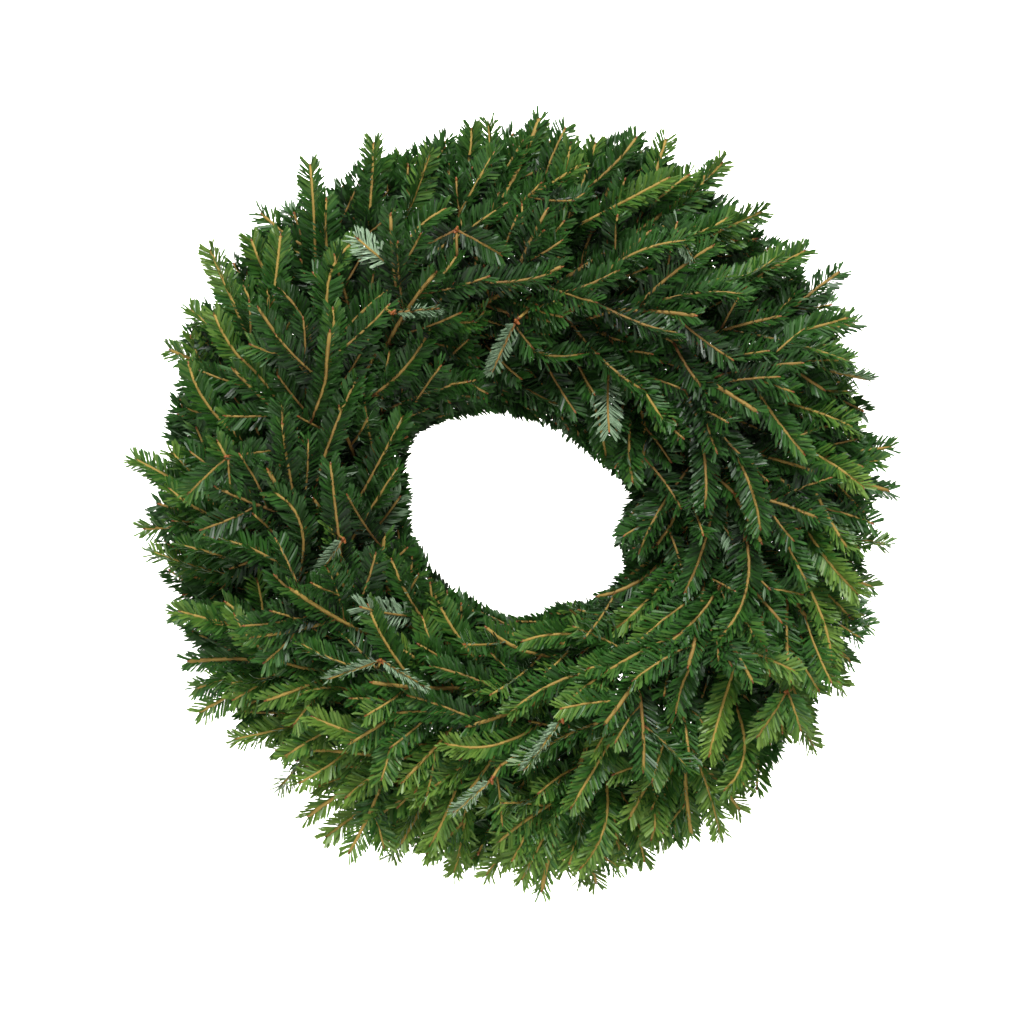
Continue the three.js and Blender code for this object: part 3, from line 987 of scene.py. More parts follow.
class Thicket:
    """All shoots with their axis points in one array, for quick searches."""

    def __init__(self, sprays: Sprays) -> None:
        """Collects the axis points of all sprays.

        Args:
            sprays: all shoots by kind and bunch.
        """
        self.sprays = sprays
        shoots = [(key, shoot) for key, group in sprays.items() for shoot in group]
        self.points = np.vstack([shoot.points for _, shoot in shoots])
        self.owners = [key for key, shoot in shoots for _ in shoot.points]

    def nearest(self, place: Array) -> tuple[Key, Array]:
        """Nearest axis point to a place, with the spray that it belongs to."""
        index = int(np.argmin(((self.points - place) ** 2).sum(1)))
        return self.owners[index], self.points[index]

    def add(self, key: Key, shoot: Shoot) -> None:
        """Adds a shoot to its spray and its points to the array.

        Args:
            key: the spray's kind and bunch.
            shoot: the new shoot.
        """
        self.sprays[key].append(shoot)
        self.points = np.vstack([self.points, shoot.points])
        self.owners += [key] * len(shoot.points)


@dataclass
class Openness:
    """Map of the front in small square cells, as seen from a step away, of where the wall shows.

    A cell counts as open until enough points of needles or twigs have fallen in it.
    """

    layout: Layout
    needles: "Needles"
    cell: float = 1.5
    half_side: float = 340.0
    window: int = 7
    eye: float = 1600.0
    hits: int = 4
    needle_stops: int = 14
    hole_margin: float = 4.0
    rim_margin: float = 22.0
    spent_radius: float = 9.0
    spent_share: float = 0.6

    def __post_init__(self) -> None:
        """Starts with every cell of the foliage's ring open."""
        side = int(2 * self.half_side / self.cell)
        middle = (np.arange(side) + 0.5) * self.cell - self.half_side
        self.x, self.z = np.meshgrid(middle, middle, indexing="ij")
        points = np.stack([self.x, np.zeros_like(self.x), self.z + self.layout.centre_z], -1)
        self.radius = np.hypot(self.x, self.z)
        self.angle = np.arctan2(self.x, self.z)
        ring = ((self.radius > self.layout.hole_edge(points) + self.hole_margin)
                & (self.radius < self.layout.rim(self.angle) - self.rim_margin))
        self.covered = np.where(ring, 0, self.hits)
        self.weight = np.ones_like(self.radius)

    def cover(self, shoot: Shoot) -> None:
        """Marks the cells that a shoot's needles and twig hide.

        Args:
            shoot: the shoot.
        """
        seat = self.needles.seats(shoot)
        stops = np.linspace(0, 1, self.needle_stops)[None, :, None]
        tips = seat["direction"] * seat["length"][:, None]
        dots = (seat["root"][:, None, :] + stops * tips[:, None, :]).reshape(-1, 3)
        dots = np.vstack([dots, shoot.points])
        nearer = self.eye / (self.eye + dots[:, 1])
        i = ((dots[:, 0] * nearer + self.half_side) / self.cell).astype(int)
        level = dots[:, 2] - self.layout.centre_z
        j = ((level * nearer + self.half_side) / self.cell).astype(int)
        np.add.at(self.covered, (i, j), 1)

    def spend(self, radius: float, angle: float) -> None:
        """Lowers the weight of a place that was just worked on, so that none is tried for ever."""
        away = np.hypot(self.x - radius * math.sin(angle), self.z - radius * math.cos(angle))
        self.weight[away < self.spent_radius] *= self.spent_share

    def widest(self) -> tuple[float, float, float]:
        """Open share of the most open window of cells, with its radius and clockwise angle.

        Returns:
            The share, the radius and the angle in radians.
        """
        still_open = (self.covered < self.hits).astype(float)
        sums = np.cumsum(np.cumsum(np.pad(still_open, ((1, 0), (1, 0))), 0), 1)
        w = self.window
        share = (sums[w:, w:] - sums[:-w, w:] - sums[w:, :-w] + sums[:-w, :-w]) / w ** 2
        half = w // 2
        share = share * self.weight[half:half + share.shape[0], half:half + share.shape[1]]
        i, j = np.unravel_index(int(np.argmax(share)), share.shape)
        at = (i + half, j + half)
        return float(share[i, j]), float(self.radius[at]), float(self.angle[at])


def add_object(name: str, data: bpy.types.ID) -> bpy.types.Object:
    """New object of a mesh, light or camera, linked to the scene.

    Args:
        name: its name.
        data: the mesh, light or camera.

    Returns:
        The object.
    """
    item = bpy.data.objects.new(name, data)
    bpy.context.scene.collection.objects.link(item)
    return item


@dataclass
class Surface:
    """A growing set of points and faces that becomes one mesh."""

    parts: list[tuple[Array, ...]] = field(default_factory=list)
    count: int = 0

    def add(self, points: Array, quads: Array, triangles: Array,
            quad_uv: Array, triangle_uv: Array, tone: Array) -> None:
        """Adds a part, whose faces number its own points from 0.

        Args:
            points: vertex places.
            quads: rows of four vertex numbers.
            triangles: rows of three vertex numbers.
            quad_uv: UV of each quad's corners.
            triangle_uv: UV of each triangle's corners.
            tone: four values for each vertex.
        """
        self.parts.append((points, quads + self.count, triangles + self.count,
                           quad_uv, triangle_uv, tone))
        self.count += len(points)

    def add_tube(self, centres: Array, across: Array, up: Array, radii: Array,
                 sides: int, tone: float = 0.5, cap: float = 0.0,
                 lumps: Array | float = 1.0) -> None:
        """Adds a closed round tube: a circle of each radius about each centre, a pole at each end.

        U counts turns round the tube, and V millimetres along it.

        Args:
            centres: ring centres.
            across: first direction in each ring's plane.
            up: second direction in each ring's plane.
            radii: ring radii.
            sides: vertices in a ring.
            tone: value stored on the tube, for a twig its shoot's shade with painted light and shade,
            beside the share of its length at each point.
            cap: how far the poles stand out past the end rings.
            lumps: factors on the radius for each ring and side.
        """
        rows = len(centres)
        turn = 2 * np.pi * np.arange(sides) / sides
        spread = radii[:, None] * lumps * np.ones((rows, sides))
        ring = (centres[:, None, :] + (spread * np.cos(turn))[..., None] * up[:, None, :]
                + (spread * np.sin(turn))[..., None] * across[:, None, :])
        first_way, last_way = unit(centres[1] - centres[0]), unit(centres[-1] - centres[-2])
        # A ring that turns the other way round its axis is reversed, so that faces point outwards
        if np.dot(np.cross(up[0], across[0]), first_way) > 0:
            ring = ring[:, ::-1]
        poles = np.array([centres[0] - first_way * cap, centres[-1] + last_way * cap])
        points = np.vstack([ring.reshape(-1, 3), poles])
        grid = np.arange(rows * sides).reshape(rows, sides)
        beside = np.roll(grid, -1, axis=1)
        quads = np.stack([grid[:-1], grid[1:], beside[1:], beside[:-1]], -1).reshape(-1, 4)
        start = np.stack([np.full(sides, rows * sides), grid[0], beside[0]], -1)
        end = np.stack([np.full(sides, rows * sides + 1), beside[-1], grid[-1]], -1)
        along = run_along(centres)
        u = np.broadcast_to(np.arange(sides) / sides, (rows - 1, sides))
        low = np.broadcast_to(along[:-1, None], u.shape)
        high = np.broadcast_to(along[1:, None], u.shape)
        step = 1 / sides
        corners = ((u, low), (u, high), (u + step, high), (u + step, low))
        quad_uv = np.stack([np.stack(corner, -1) for corner in corners], -2).reshape(-1, 4, 2)
        ends = np.array([[0.5, 0.0], [0.0, 0.0], [1.0, 0.0]])
        share = np.append(np.repeat(along / along[-1], sides), [0.0, 1.0])
        ones = np.ones(len(points))
        self.add(points, quads, np.vstack([start, end]), quad_uv,
                 np.broadcast_to(ends, (2 * sides, 3, 2)),
                 np.column_stack([ones * tone, share, share, ones]))

    def write(self, name: str, smooth: bool = True) -> bpy.types.Object:
        """The surface as a new object at the origin, turned from millimetres to metres.

        Args:
            name: object's name.
            smooth: whether faces are shaded smooth.

        Returns:
            The linked object, with its UV map and tone attribute.
        """
        points, quads, triangles, quad_uv, triangle_uv, tone = map(np.vstack, zip(*self.parts))
        loops = np.concatenate([quads.ravel(), triangles.ravel()]).astype(np.int32)
        starts = np.concatenate([np.arange(len(quads)) * 4,
                                 4 * len(quads) + np.arange(len(triangles)) * 3])
        mesh = bpy.data.meshes.new(name)
        mesh.vertices.add(len(points))
        mesh.vertices.foreach_set("co", (points * MM).astype(np.float32).ravel())
        mesh.loops.add(len(loops))
        mesh.loops.foreach_set("vertex_index", loops)
        mesh.polygons.add(len(starts))
        mesh.polygons.foreach_set("loop_start", starts.astype(np.int32))
        mesh.polygons.foreach_set("use_smooth", np.full(len(starts), smooth))
        mesh.update(calc_edges=True)
        corners = np.concatenate([quad_uv.ravel(), triangle_uv.ravel()]).astype(np.float32)
        mesh.uv_layers.new(name="UVMap").data.foreach_set("uv", corners)
        attribute = mesh.attributes.new("tone", "FLOAT_COLOR", "POINT")
        attribute.data.foreach_set("color", tone.astype(np.float32).ravel())
        return add_object(name, mesh)


@dataclass(frozen=True)
class Blade:
    """Form of a needle: its faces, and its points as (place along, share across, share of depth).

    V of its UV map runs over a band of one width on each side, about another middle.
    """

    points: tuple[tuple[float, float, float], ...]
    upper: tuple[tuple[int, ...], ...]
    lower: tuple[tuple[int, ...], ...]
    upper_middle: float = 0.23
    lower_middle: float = 0.76
    half_band: float = 0.23

    def faces(self, corners: int) -> tuple[Array, Array]:
        """Point numbers and UV of the faces that have so many corners, with U the place along.

        Args:
            corners: 3 or 4.

        Returns:
            Point numbers and UV, one row for each face.
        """
        sides = ((self.upper, self.upper_middle), (self.lower, self.lower_middle))
        chosen = [(loop, middle) for loops, middle in sides
                  for loop in loops if len(loop) == corners]
        places = [[(self.points[corner][0],
                    middle + self.half_band * np.sign(self.points[corner][1])) for corner in loop]
                  for loop, middle in chosen]
        return (np.array([loop for loop, _ in chosen], int).reshape(-1, corners),
                np.array(places, float).reshape(-1, corners, 2))


# Flat above with a blunt tip and keeled beneath, and a plainer one for needles far back
BLUNT_BLADE = Blade(
    ((0.0, 0.0, 0.0), (0.06, -0.62, 0.0), (0.06, 0.62, 0.0), (0.84, -1.0, 0.0), (0.84, 1.0, 0.0),
     (1.0, 0.0, 0.0), (0.5, 0.0, 1.0)),
    ((0, 2, 1), (1, 2, 4, 3), (3, 4, 5)),
    ((0, 1, 6), (1, 3, 6), (3, 5, 6), (5, 4, 6), (4, 2, 6), (2, 0, 6)))
PLAIN_BLADE = Blade(
    ((0.0, 0.0, 0.7), (0.55, -1.6, 0.0), (0.55, 1.6, 0.0), (1.0, 0.0, 0.7)),
    ((0, 2, 1), (1, 2, 3)), ((0, 1, 3), (0, 3, 2)))


@dataclass
class Needles:
    """Flat fir needles, set like the teeth of a comb on both sides of each twig."""

    layout: Layout
    length: float = 15.6
    width: float = 1.78
    thickness: float = 0.6
    back_growth: float = 1.1
    # Needles for each millimetre of twig, and how far they tilt out of the comb's plane
    density: dict[Layer, float] = field(default_factory=lambda: {
        Layer.BACK: 1.45, Layer.MIDDLE: 1.58, Layer.FRONT: 2.4})
    tilt: dict[Layer, float] = field(default_factory=lambda: {
        Layer.BACK: 12.0, Layer.MIDDLE: 18.0, Layer.FRONT: 25.0})
    tilt_stray: float = 9.0
    jitter: float = 0.8
    # Shares of needles that rise over the twig or hang below it, with their tilts
    upper_share: float = 0.14
    upper_tilt: Pair = (34.0, 66.0)
    lower_share: float = 0.22
    lower_tilt: Pair = (-45.0, -8.0)
    # Angle from the twig at its root, how it falls along it and over its last fifth
    turn: float = 62.0
    turn_fall: float = 8.0
    tip_fall: float = 16.0
    tip_start: float = 0.8
    turn_stray: float = 6.0
    upper_turn: float = 0.7
    # Length as shares of the full one: at both ends and what the middle adds
    end_size: float = 0.7
    middle_size: float = 0.3
    fullness: float = 0.6
    length_range: Pair = (0.86, 1.08)
    width_range: Pair = (0.85, 1.12)
    upper_size: float = 0.8
    face_stray: float = 0.3
    # A leader is bare at its root, and bears ever more needles over the next stretch
    leader_bare: float = 14.0
    leader_ramp: float = 40.0
    least_chance: float = 0.05
    hole_overlap: float = 3.0
    overlap_range: Pair = (-0.4, 2.0)
    hole_tufts: float = 2.5
    # Needles start inside the twig, at a share of half its radius and a little over its middle
    seat_share: float = 0.6
    seat_lift: float = 0.3
    bend: float = 0.13
    lift: float = 0.05
    wall_gap: float = 0.2
    # Cuts of a needle that would reach into the hole, each to a share of its length
    most_cuts: int = 4
    cut_share: float = 0.8

    def seats(self, shoot: Shoot) -> dict[str, Array]:
        """Root, directions, length, overlap with the hole and tone of one shoot's needles.

        A needle's angle from the twig falls evenly along it, and faster near its tip. Most needles
        lie in the comb's plane, some rise over the twig and some hang below it. Lengths follow a
        power of a half sine that ends just before the tip, so the outline is rounded at both ends.

        Args:
            shoot: the twig, whose seed fixes the random draws.

        Returns:
            Arrays by name, one row for each needle.
        """
        rng = np.random.default_rng(shoot.seed)
        usable = shoot.length - shoot.bare
        count = max(0, int(usable * self.density[shoot.layer] * shoot.closeness))
        share = (np.arange(count) + rng.uniform(0, self.jitter, count)) / count
        distance = shoot.bare + share * (usable + 1.0)
        if shoot.is_leader:
            chance = np.clip((distance - self.leader_bare) / self.leader_ramp, self.least_chance, 1)
            keep = rng.random(count) < chance
            share, distance = share[keep], distance[keep]
            count = len(share)
        centre, tangent, across, up = shoot.at(distance)
        side = np.where(np.arange(count) % 2, 1.0, -1.0)
        pick = rng.random(count)
        tilt = rng.normal(self.tilt[shoot.layer], self.tilt_stray, count)
        upper = pick < self.upper_share
        lower = pick > 1 - self.lower_share
        tilt = np.where(upper, rng.uniform(*self.upper_tilt, count), tilt)
        tilt = np.where(lower, rng.uniform(*self.lower_tilt, count), tilt)
        near_tip = np.clip((share - self.tip_start) / (1 - self.tip_start), 0, 1)
        turn = self.turn - self.turn_fall * share - self.tip_fall * near_tip
        turn = (turn + rng.normal(0, self.turn_stray, count)) * np.where(upper, self.upper_turn, 1)
        half_sine = np.sin(np.pi * np.clip(share * 1.02, 0, 1))
        size = self.end_size + self.middle_size * half_sine ** self.fullness
        length = self.length * size * rng.uniform(*self.length_range, count)
        length = length * np.where(upper, self.upper_size, 1)
        length *= shoot.growth * (self.back_growth if shoot.layer is Layer.BACK else 1)
        turn, tilt = np.radians(turn), np.radians(tilt)
        direction = (np.cos(tilt) * np.cos(turn))[:, None] * tangent
        direction += (side * np.cos(tilt) * np.sin(turn))[:, None] * across
        direction += np.sin(tilt)[:, None] * up
        face = unit(up - (up * direction).sum(1)[:, None] * direction)
        roll = rng.normal(0, self.face_stray, count)[:, None]
        face = face * np.cos(roll) + np.cross(direction, face) * np.sin(roll)
        outwards = unit(side[:, None] * across + self.seat_lift * up)
        root = centre + 0.5 * shoot.width * self.seat_share * outwards
        # Tone by needle at random, the shoot's shade with its painted light and shade, and place
        # along
        tone = np.column_stack([rng.random(count), np.full(count, shoot.shade), share,
                                np.ones(count)])
        return {"root": root, "direction": direction, "face": face, "forward": tangent,
                "length": length, "overlap": np.full(count, rng.normal(0, self.hole_tufts)),
                "tone": tone}

    def build(self, name: str, shoots: list[Shoot], seed: int) -> bpy.types.Object:
        """All needles of some shoots as one object, plainer ones far back.

        Args:
            name: object's name.
            shoots: the twigs that bear them.
            seed: fixes the random draws.

        Returns:
            The object.
        """
        rng = np.random.default_rng(seed)
        surface = Surface()
        for blade, in_back in ((BLUNT_BLADE, False), (PLAIN_BLADE, True)):
            parts = [self.seats(shoot) for shoot in shoots
                     if (shoot.layer is Layer.BACK) == in_back]
            if parts:
                seat = {key: np.concatenate([part[key] for part in parts]) for key in parts[0]}
                surface.add(*self.shape(seat, blade, rng))
        return surface.write(name, smooth=False)

    def shape(self, seat: dict[str, Array], blade: Blade, rng: Random) -> tuple[Array, ...]:
        """Surface of the needles in the given seats.

        A point at share t of the length lies on root + length (t direction + t squared bend), moved
        across by its share of the half width and down by its share of the thickness.

        Args:
            seat: what seats gives.
            blade: the needles' form.
            rng: random source.

        Returns:
            Points, quads, triangles, UV of quads, UV of triangles, and tone of each point.
        """
        root, direction, face = seat["root"], seat["direction"], seat["face"]
        count, size = len(root), len(blade.points)
        overlap = seat["overlap"] + self.hole_overlap * rng.uniform(*self.overlap_range, count)
        length = self.fitted(root, direction, seat["length"], overlap)[:, None, None]
        forward = seat["forward"]
        bend = self.bend * unit(forward - (forward * direction).sum(1)[:, None] * direction)
        bend += self.lift * face
        across = np.cross(direction, face)
        half = 0.5 * self.width * rng.uniform(*self.width_range, count)[:, None, None]
        along, aside, depth = (np.array(column)[None, :, None] for column in zip(*blade.points))
        points = (root[:, None] + length * (along * direction[:, None] + along ** 2 * bend[:, None])
                  + half * aside * across[:, None] - self.thickness * depth * face[:, None])
        # None reaches the plane of the wall
        points[..., 1] = np.minimum(points[..., 1], self.layout.rail_back - self.wall_gap)
        base = (np.arange(count) * size)[:, None, None]
        (quads, quad_uv), (triangles, triangle_uv) = blade.faces(4), blade.faces(3)
        tone = np.repeat(seat["tone"][:, None, :], size, 1)
        return (points.reshape(-1, 3), (base + quads).reshape(-1, 4),
                (base + triangles).reshape(-1, 3), np.tile(quad_uv, (count, 1, 1)),
                np.tile(triangle_uv, (count, 1, 1)), tone.reshape(-1, 4))

    def fitted(self, root: Array, direction: Array, length: Array, overlap: Array) -> Array:
        """Lengths cut back, a share at a time, where a needle would reach into the hole.

        Args:
            root: needle roots.
            direction: needle directions.
            length: wanted lengths.
            overlap: how far past the hole's edge each may reach.

        Returns:
            The fitted lengths.
        """
        fitted = length.copy()
        for _ in range(self.most_cuts):
            tip = root + direction * fitted[:, None]
            limit = self.layout.hole_edge(tip) - overlap
            fitted = np.where(self.layout.radius_of(tip) < limit, fitted * self.cut_share, fitted)
        return fitted


@dataclass
class Twigs:
    """Twigs of the shoots: slim round tubes that taper a little."""

    sides: int = 6
    back_sides: int = 4
    ring_pitch: float = 10.0
    fewest_rings: int = 4
    root_share: float = 0.8
    tip_share: float = 0.7
    thinnest: float = 0.9
    cap: float = 0.3

    def build(self, name: str, shoots: list[Shoot]) -> bpy.types.Object:
        """All twigs of some shoots as one object.

        The radius falls evenly from one share of the shoot's half width at the root to another at
        the tip, or to the thinnest if that is more.

        Args:
            name: object's name.
            shoots: the twigs.

        Returns:
            The object.
        """
        surface = Surface()
        for shoot in shoots:
            rings = max(self.fewest_rings, int(shoot.length / self.ring_pitch))
            centre, _, across, up = shoot.at(np.linspace(0.0, shoot.length - 1.0, rings))
            radius = np.linspace(shoot.width * self.root_share,
                                 max(self.thinnest, shoot.width * self.tip_share), rings)
            sides = self.back_sides if shoot.layer is Layer.BACK else self.sides
            # The twig's tone is its shoot's shade, with painted light and shade
            surface.add_tube(centre, across, up, radius, sides, shoot.shade, cap=self.cap)
        return surface.write(name)


@dataclass
class Buds:
    """Resinous buds: one at each tip, between two small ones in front, and three at a knot."""

    length: float = 3.8
    radius: float = 1.05
    sides: int = 5
    # Place along and share of the radius of each ring
    profile: tuple[Pair, ...] = ((0.0, 0.65), (0.35, 1.0), (0.8, 0.55))
    cap: float = 0.4
    knot_scale: float = 1.5
    knot_tone: float = 0.1
    knot_sink: float = 0.8
    tip_range: Pair = (0.85, 1.1)
    tip_sink: float = 1.6
    # The two beside a tip lean across and up, and sit a little back and aside
    small_range: Pair = (0.55, 0.75)
    small_lean: Pair = (0.75, 0.15)
    small_back: float = 0.4
    small_aside: float = 0.5

    def add(self, surface: Surface, root: Array, forward: Array, up: Array,
            scale: float, tone: float) -> None:
        """Adds one egg-shaped bud to a surface.

        Args:
            surface: what it joins.
            root: where it sits.
            forward: direction that it points.
            up: direction square to that.
            scale: size factor.
            tone: shade value.
        """
        across = np.cross(forward, up)
        stops, shares = (np.array(column) for column in zip(*self.profile))
        rows = (len(stops), 1)
        surface.add_tube(root + (stops * self.length * scale)[:, None] * forward,
                         np.tile(across, rows), np.tile(up, rows), shares * self.radius * scale,
                         self.sides, tone, cap=self.cap * scale)

    def build(self, name: str, shoots: list[Shoot], seed: int) -> bpy.types.Object:
        """All buds of some shoots as one object.

        Args:
            name: object's name.
            shoots: the twigs that bear them.
            seed: fixes the random draws.

        Returns:
            The object.
        """
        rng = np.random.default_rng(seed)
        surface = Surface()
        for shoot in shoots:
            if shoot.knot:
                for way in (FRONT, unit(FRONT + shoot.across[0]), unit(FRONT - shoot.across[0])):
                    square = unit(np.cross(way, shoot.tangent[0]))
                    self.add(surface, shoot.points[0] - self.knot_sink * way, way, square,
                             self.knot_scale, self.knot_tone)
            tangent, across, up = shoot.tangent[-1], shoot.across[-1], shoot.up[-1]
            tip = shoot.points[-1] - self.tip_sink * tangent
            self.add(surface, tip, tangent, up, rng.uniform(*self.tip_range), rng.random())
            for side in (-1, 1) if shoot.layer is Layer.FRONT else ():
                lean = unit(tangent + side * self.small_lean[0] * across + self.small_lean[1] * up)
                square = unit(up - np.dot(up, lean) * lean)
                seat = tip - self.small_back * tangent + side * self.small_aside * across
                self.add(surface, seat, lean, square, rng.uniform(*self.small_range), rng.random())
        return surface.write(name)


@dataclass
class ClampRing:
    """Two round wire rails with a bent wire clamp welded across them for each bunch."""

    layout: Layout
    rail_rings: int = 180
    rail_sides: int = 12
    rail_share: float = 0.98
    clamp_sides: int = 10
    clamp_share: float = 1.12
    clamp_cap: float = 0.25
    # Corners are cut so many times, each time a share of both sides; shorter steps are left out
    cuts: int = 2
    cut_share: float = 0.25
    shortest_step: float = 0.05

    def rail(self, surface: Surface, radius: float) -> None:
        """Adds one rail: a circle of wire, closed on itself.

        A point lies on the rail's circle, plus the wire's radius times the cosine of a turn
        outwards and its sine to the front.

        Args:
            surface: what it joins.
            radius: radius of the rail.
        """
        turn = 2 * np.pi * np.arange(self.rail_rings) / self.rail_rings
        round_wire = 2 * np.pi * np.arange(self.rail_sides) / self.rail_sides
        outward = np.stack([np.sin(turn), np.zeros_like(turn), np.cos(turn)], -1)
        centre = outward * radius + np.array([0.0, 0.0, self.layout.centre_z])
        wire = self.layout.wire * self.rail_share
        ring = (centre[:, None, :] + wire * np.cos(round_wire)[None, :, None] * outward[:, None, :]
                + wire * np.sin(round_wire)[None, :, None] * FRONT)
        grid = np.arange(self.rail_rings * self.rail_sides).reshape(ring.shape[:2])
        across, along = np.roll(grid, -1, 1), np.roll(grid, -1, 0)
        both = np.roll(across, -1, 0)
        surface.add(ring.reshape(-1, 3), np.stack([grid, across, both, along], -1).reshape(-1, 4),
                    np.zeros((0, 3), int), np.zeros((grid.size, 4, 2)), np.zeros((0, 3, 2)),
                    np.full((grid.size, 4), 0.5))

    def clamp(self, surface: Surface, bunch: int) -> None:
        """Adds one clamp: a wire bent round the stems, its corners cut to round its bends.

        Args:
            surface: what it joins.
            bunch: its number from 0.
        """
        half = self.layout.clamp_corners()
        outline = np.array(half + [(-side, height) for side, height in reversed(half)])
        near, far = 1 - self.cut_share, self.cut_share
        for _ in range(self.cuts):
            inner = np.stack([near * outline[:-1] + far * outline[1:],
                              far * outline[:-1] + near * outline[1:]], 1).reshape(-1, 2)
            outline = np.vstack([outline[:1], inner, outline[-1:]])
        angle = self.layout.bunch_angle(bunch)
        points = np.array([self.layout.place(self.layout.bunch_radius + side, angle, height)
                           for side, height in outline])
        apart = np.linalg.norm(np.diff(points, axis=0), axis=1) > self.shortest_step
        points = points[np.concatenate([[True], apart])]
        along = np.tile(self.layout.clockwise(angle), (len(points), 1))
        surface.add_tube(points, along, np.cross(along, tangents(points)),
                         np.full(len(points), self.layout.clamp_wire * self.clamp_share),
                         self.clamp_sides, cap=self.clamp_cap)

    def build(self) -> bpy.types.Object:
        """The ring as one object that replaces its solid.

        Returns:
            The object.
        """
        surface = Surface()
        for radius in (self.layout.outer_rail, self.layout.inner_rail):
            self.rail(surface, radius)
        for bunch in range(self.layout.bunch_count):
            self.clamp(surface, bunch)
        piece = surface.write("ring_wire")
        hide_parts("clamp_ring")
        return piece


@dataclass
class Stems:
    """Cut woody stems of a bunch, side by side through their clamp."""

    layout: Layout
    sides: int = 12
    rings: int = 16
    radius_share: float = 0.93
    # Low waves of the radius as (height, waves round the stem, turn for each millimetre along it)
    waves: tuple[tuple[float, int, float], ...] = ((0.03, 3, 0.3), (0.02, 7, -0.5))
    latest_phase: float = 6.0
    scar_height: float = 0.05
    scar_width: float = 1.4
    # The scar lies between so far from the stem's cut end and so far past the clamp
    scar_from: float = 6.0
    scar_to: float = 20.0

    def build(self, bunch: int) -> bpy.types.Object:
        """The three stems of one bunch as one object that replaces its solid.

        The radius is worked by sine waves round and along the stem, and by a small collar, a bell
        curve along it, at one scar.

        Args:
            bunch: its number from 0.

        Returns:
            The object.
        """
        surface = Surface()
        rng = np.random.default_rng(Seed.STEMS + bunch)
        angle = self.layout.bunch_angle(bunch)
        inward = np.tile(-self.layout.outward(angle), (self.rings, 1))
        front = np.tile(FRONT, (self.rings, 1))
        turn = 2 * np.pi * np.arange(self.sides) / self.sides
        radii = np.full(self.rings, self.layout.stem_radius * self.radius_share)
        for row, tail in zip(STEM_ROWS, self.layout.stem_tails):
            along = np.linspace(tail, self.layout.stem_front, self.rings)
            start = self.layout.stem_end(bunch, row, 0.0)
            centres = start + along[:, None] * self.layout.clockwise(angle)
            lumps = 1
            for height, count, twist in self.waves:
                phase = rng.uniform(0, self.latest_phase)
                lumps = lumps + height * np.sin(count * turn + twist * along[:, None] + phase)
            scar = along - rng.uniform(tail + self.scar_from, self.scar_to)
            scar = np.exp(-(scar / self.scar_width) ** 2)[:, None]
            surface.add_tube(centres, inward, front, radii, self.sides, rng.random(),
                             lumps=lumps + self.scar_height * scar)
        piece = surface.write(f"stem_bark_{bunch + 1:02d}")
        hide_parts(f"stems_{bunch + 1:02d}")
        return piece


def linear(hex_colour: str) -> tuple[float, float, float, float]:
    """Linear colour of an sRGB hex value.

    Args:
        hex_colour: six hex digits after a hash.

    Returns:
        Linear red, green, blue and full alpha.
    """
    values = [int(hex_colour[i:i + 2], 16) / 255 for i in (1, 3, 5)]
    turned = [v / 12.92 if v <= 0.04045 else ((v + 0.055) / 1.055) ** 2.4 for v in values]
    return (*turned, 1.0)


def set_inputs(node: bpy.types.Node, inputs: dict) -> None:
    """Sets or links inputs of a node.

    Args:
        node: the node.
        inputs: by input name or number: a value, an sRGB hex colour, a socket, or a node whose
            first output in use is meant.
    """
    for name, value in inputs.items():
        if isinstance(value, str):
            value = linear(value)
        if isinstance(value, bpy.types.Node):
            value = next(output for output in value.outputs if output.enabled)
        if isinstance(value, bpy.types.NodeSocket):
            node.id_data.links.new(value, node.inputs[name])
        else:
            node.inputs[name].default_value = value


def add_node(tree: bpy.types.NodeTree, kind: str, settings: dict | None = None,
             inputs: dict | None = None) -> bpy.types.Node:
    """Adds a node with its settings, input values and links.

    Args:
        tree: node tree that it joins.
        kind: node type, without the words that all of them start with.
        settings: property values by name.
        inputs: what set_inputs takes.

    Returns:
        The node.
    """
    node = tree.nodes.new("ShaderNode" + kind)
    for name, value in (settings or {}).items():
        setattr(node, name, value)
    set_inputs(node, inputs or {})
    return node


def new_material(name: str, roughness: float) -> tuple[
        bpy.types.Material, bpy.types.NodeTree, bpy.types.Node]:
    """New node material.

    Args:
        name: its name.
        roughness: roughness of its surface.

    Returns:
        The material, its tree and its Principled shader.
    """
    material = bpy.data.materials.new(name)
    material.use_nodes = True
    tree = material.node_tree
    shader = tree.nodes["Principled BSDF"]
    set_inputs(shader, {"Roughness": roughness})
    return material, tree, shader


# Settings that add a weighted pattern to a sum, and that mix two colours, with the mix's inputs
WEIGHTED = {"operation": "MULTIPLY_ADD"}
COLOUR_MIX = {"data_type": "RGBA"}
FACTOR, LOW, HIGH = 0, 6, 7


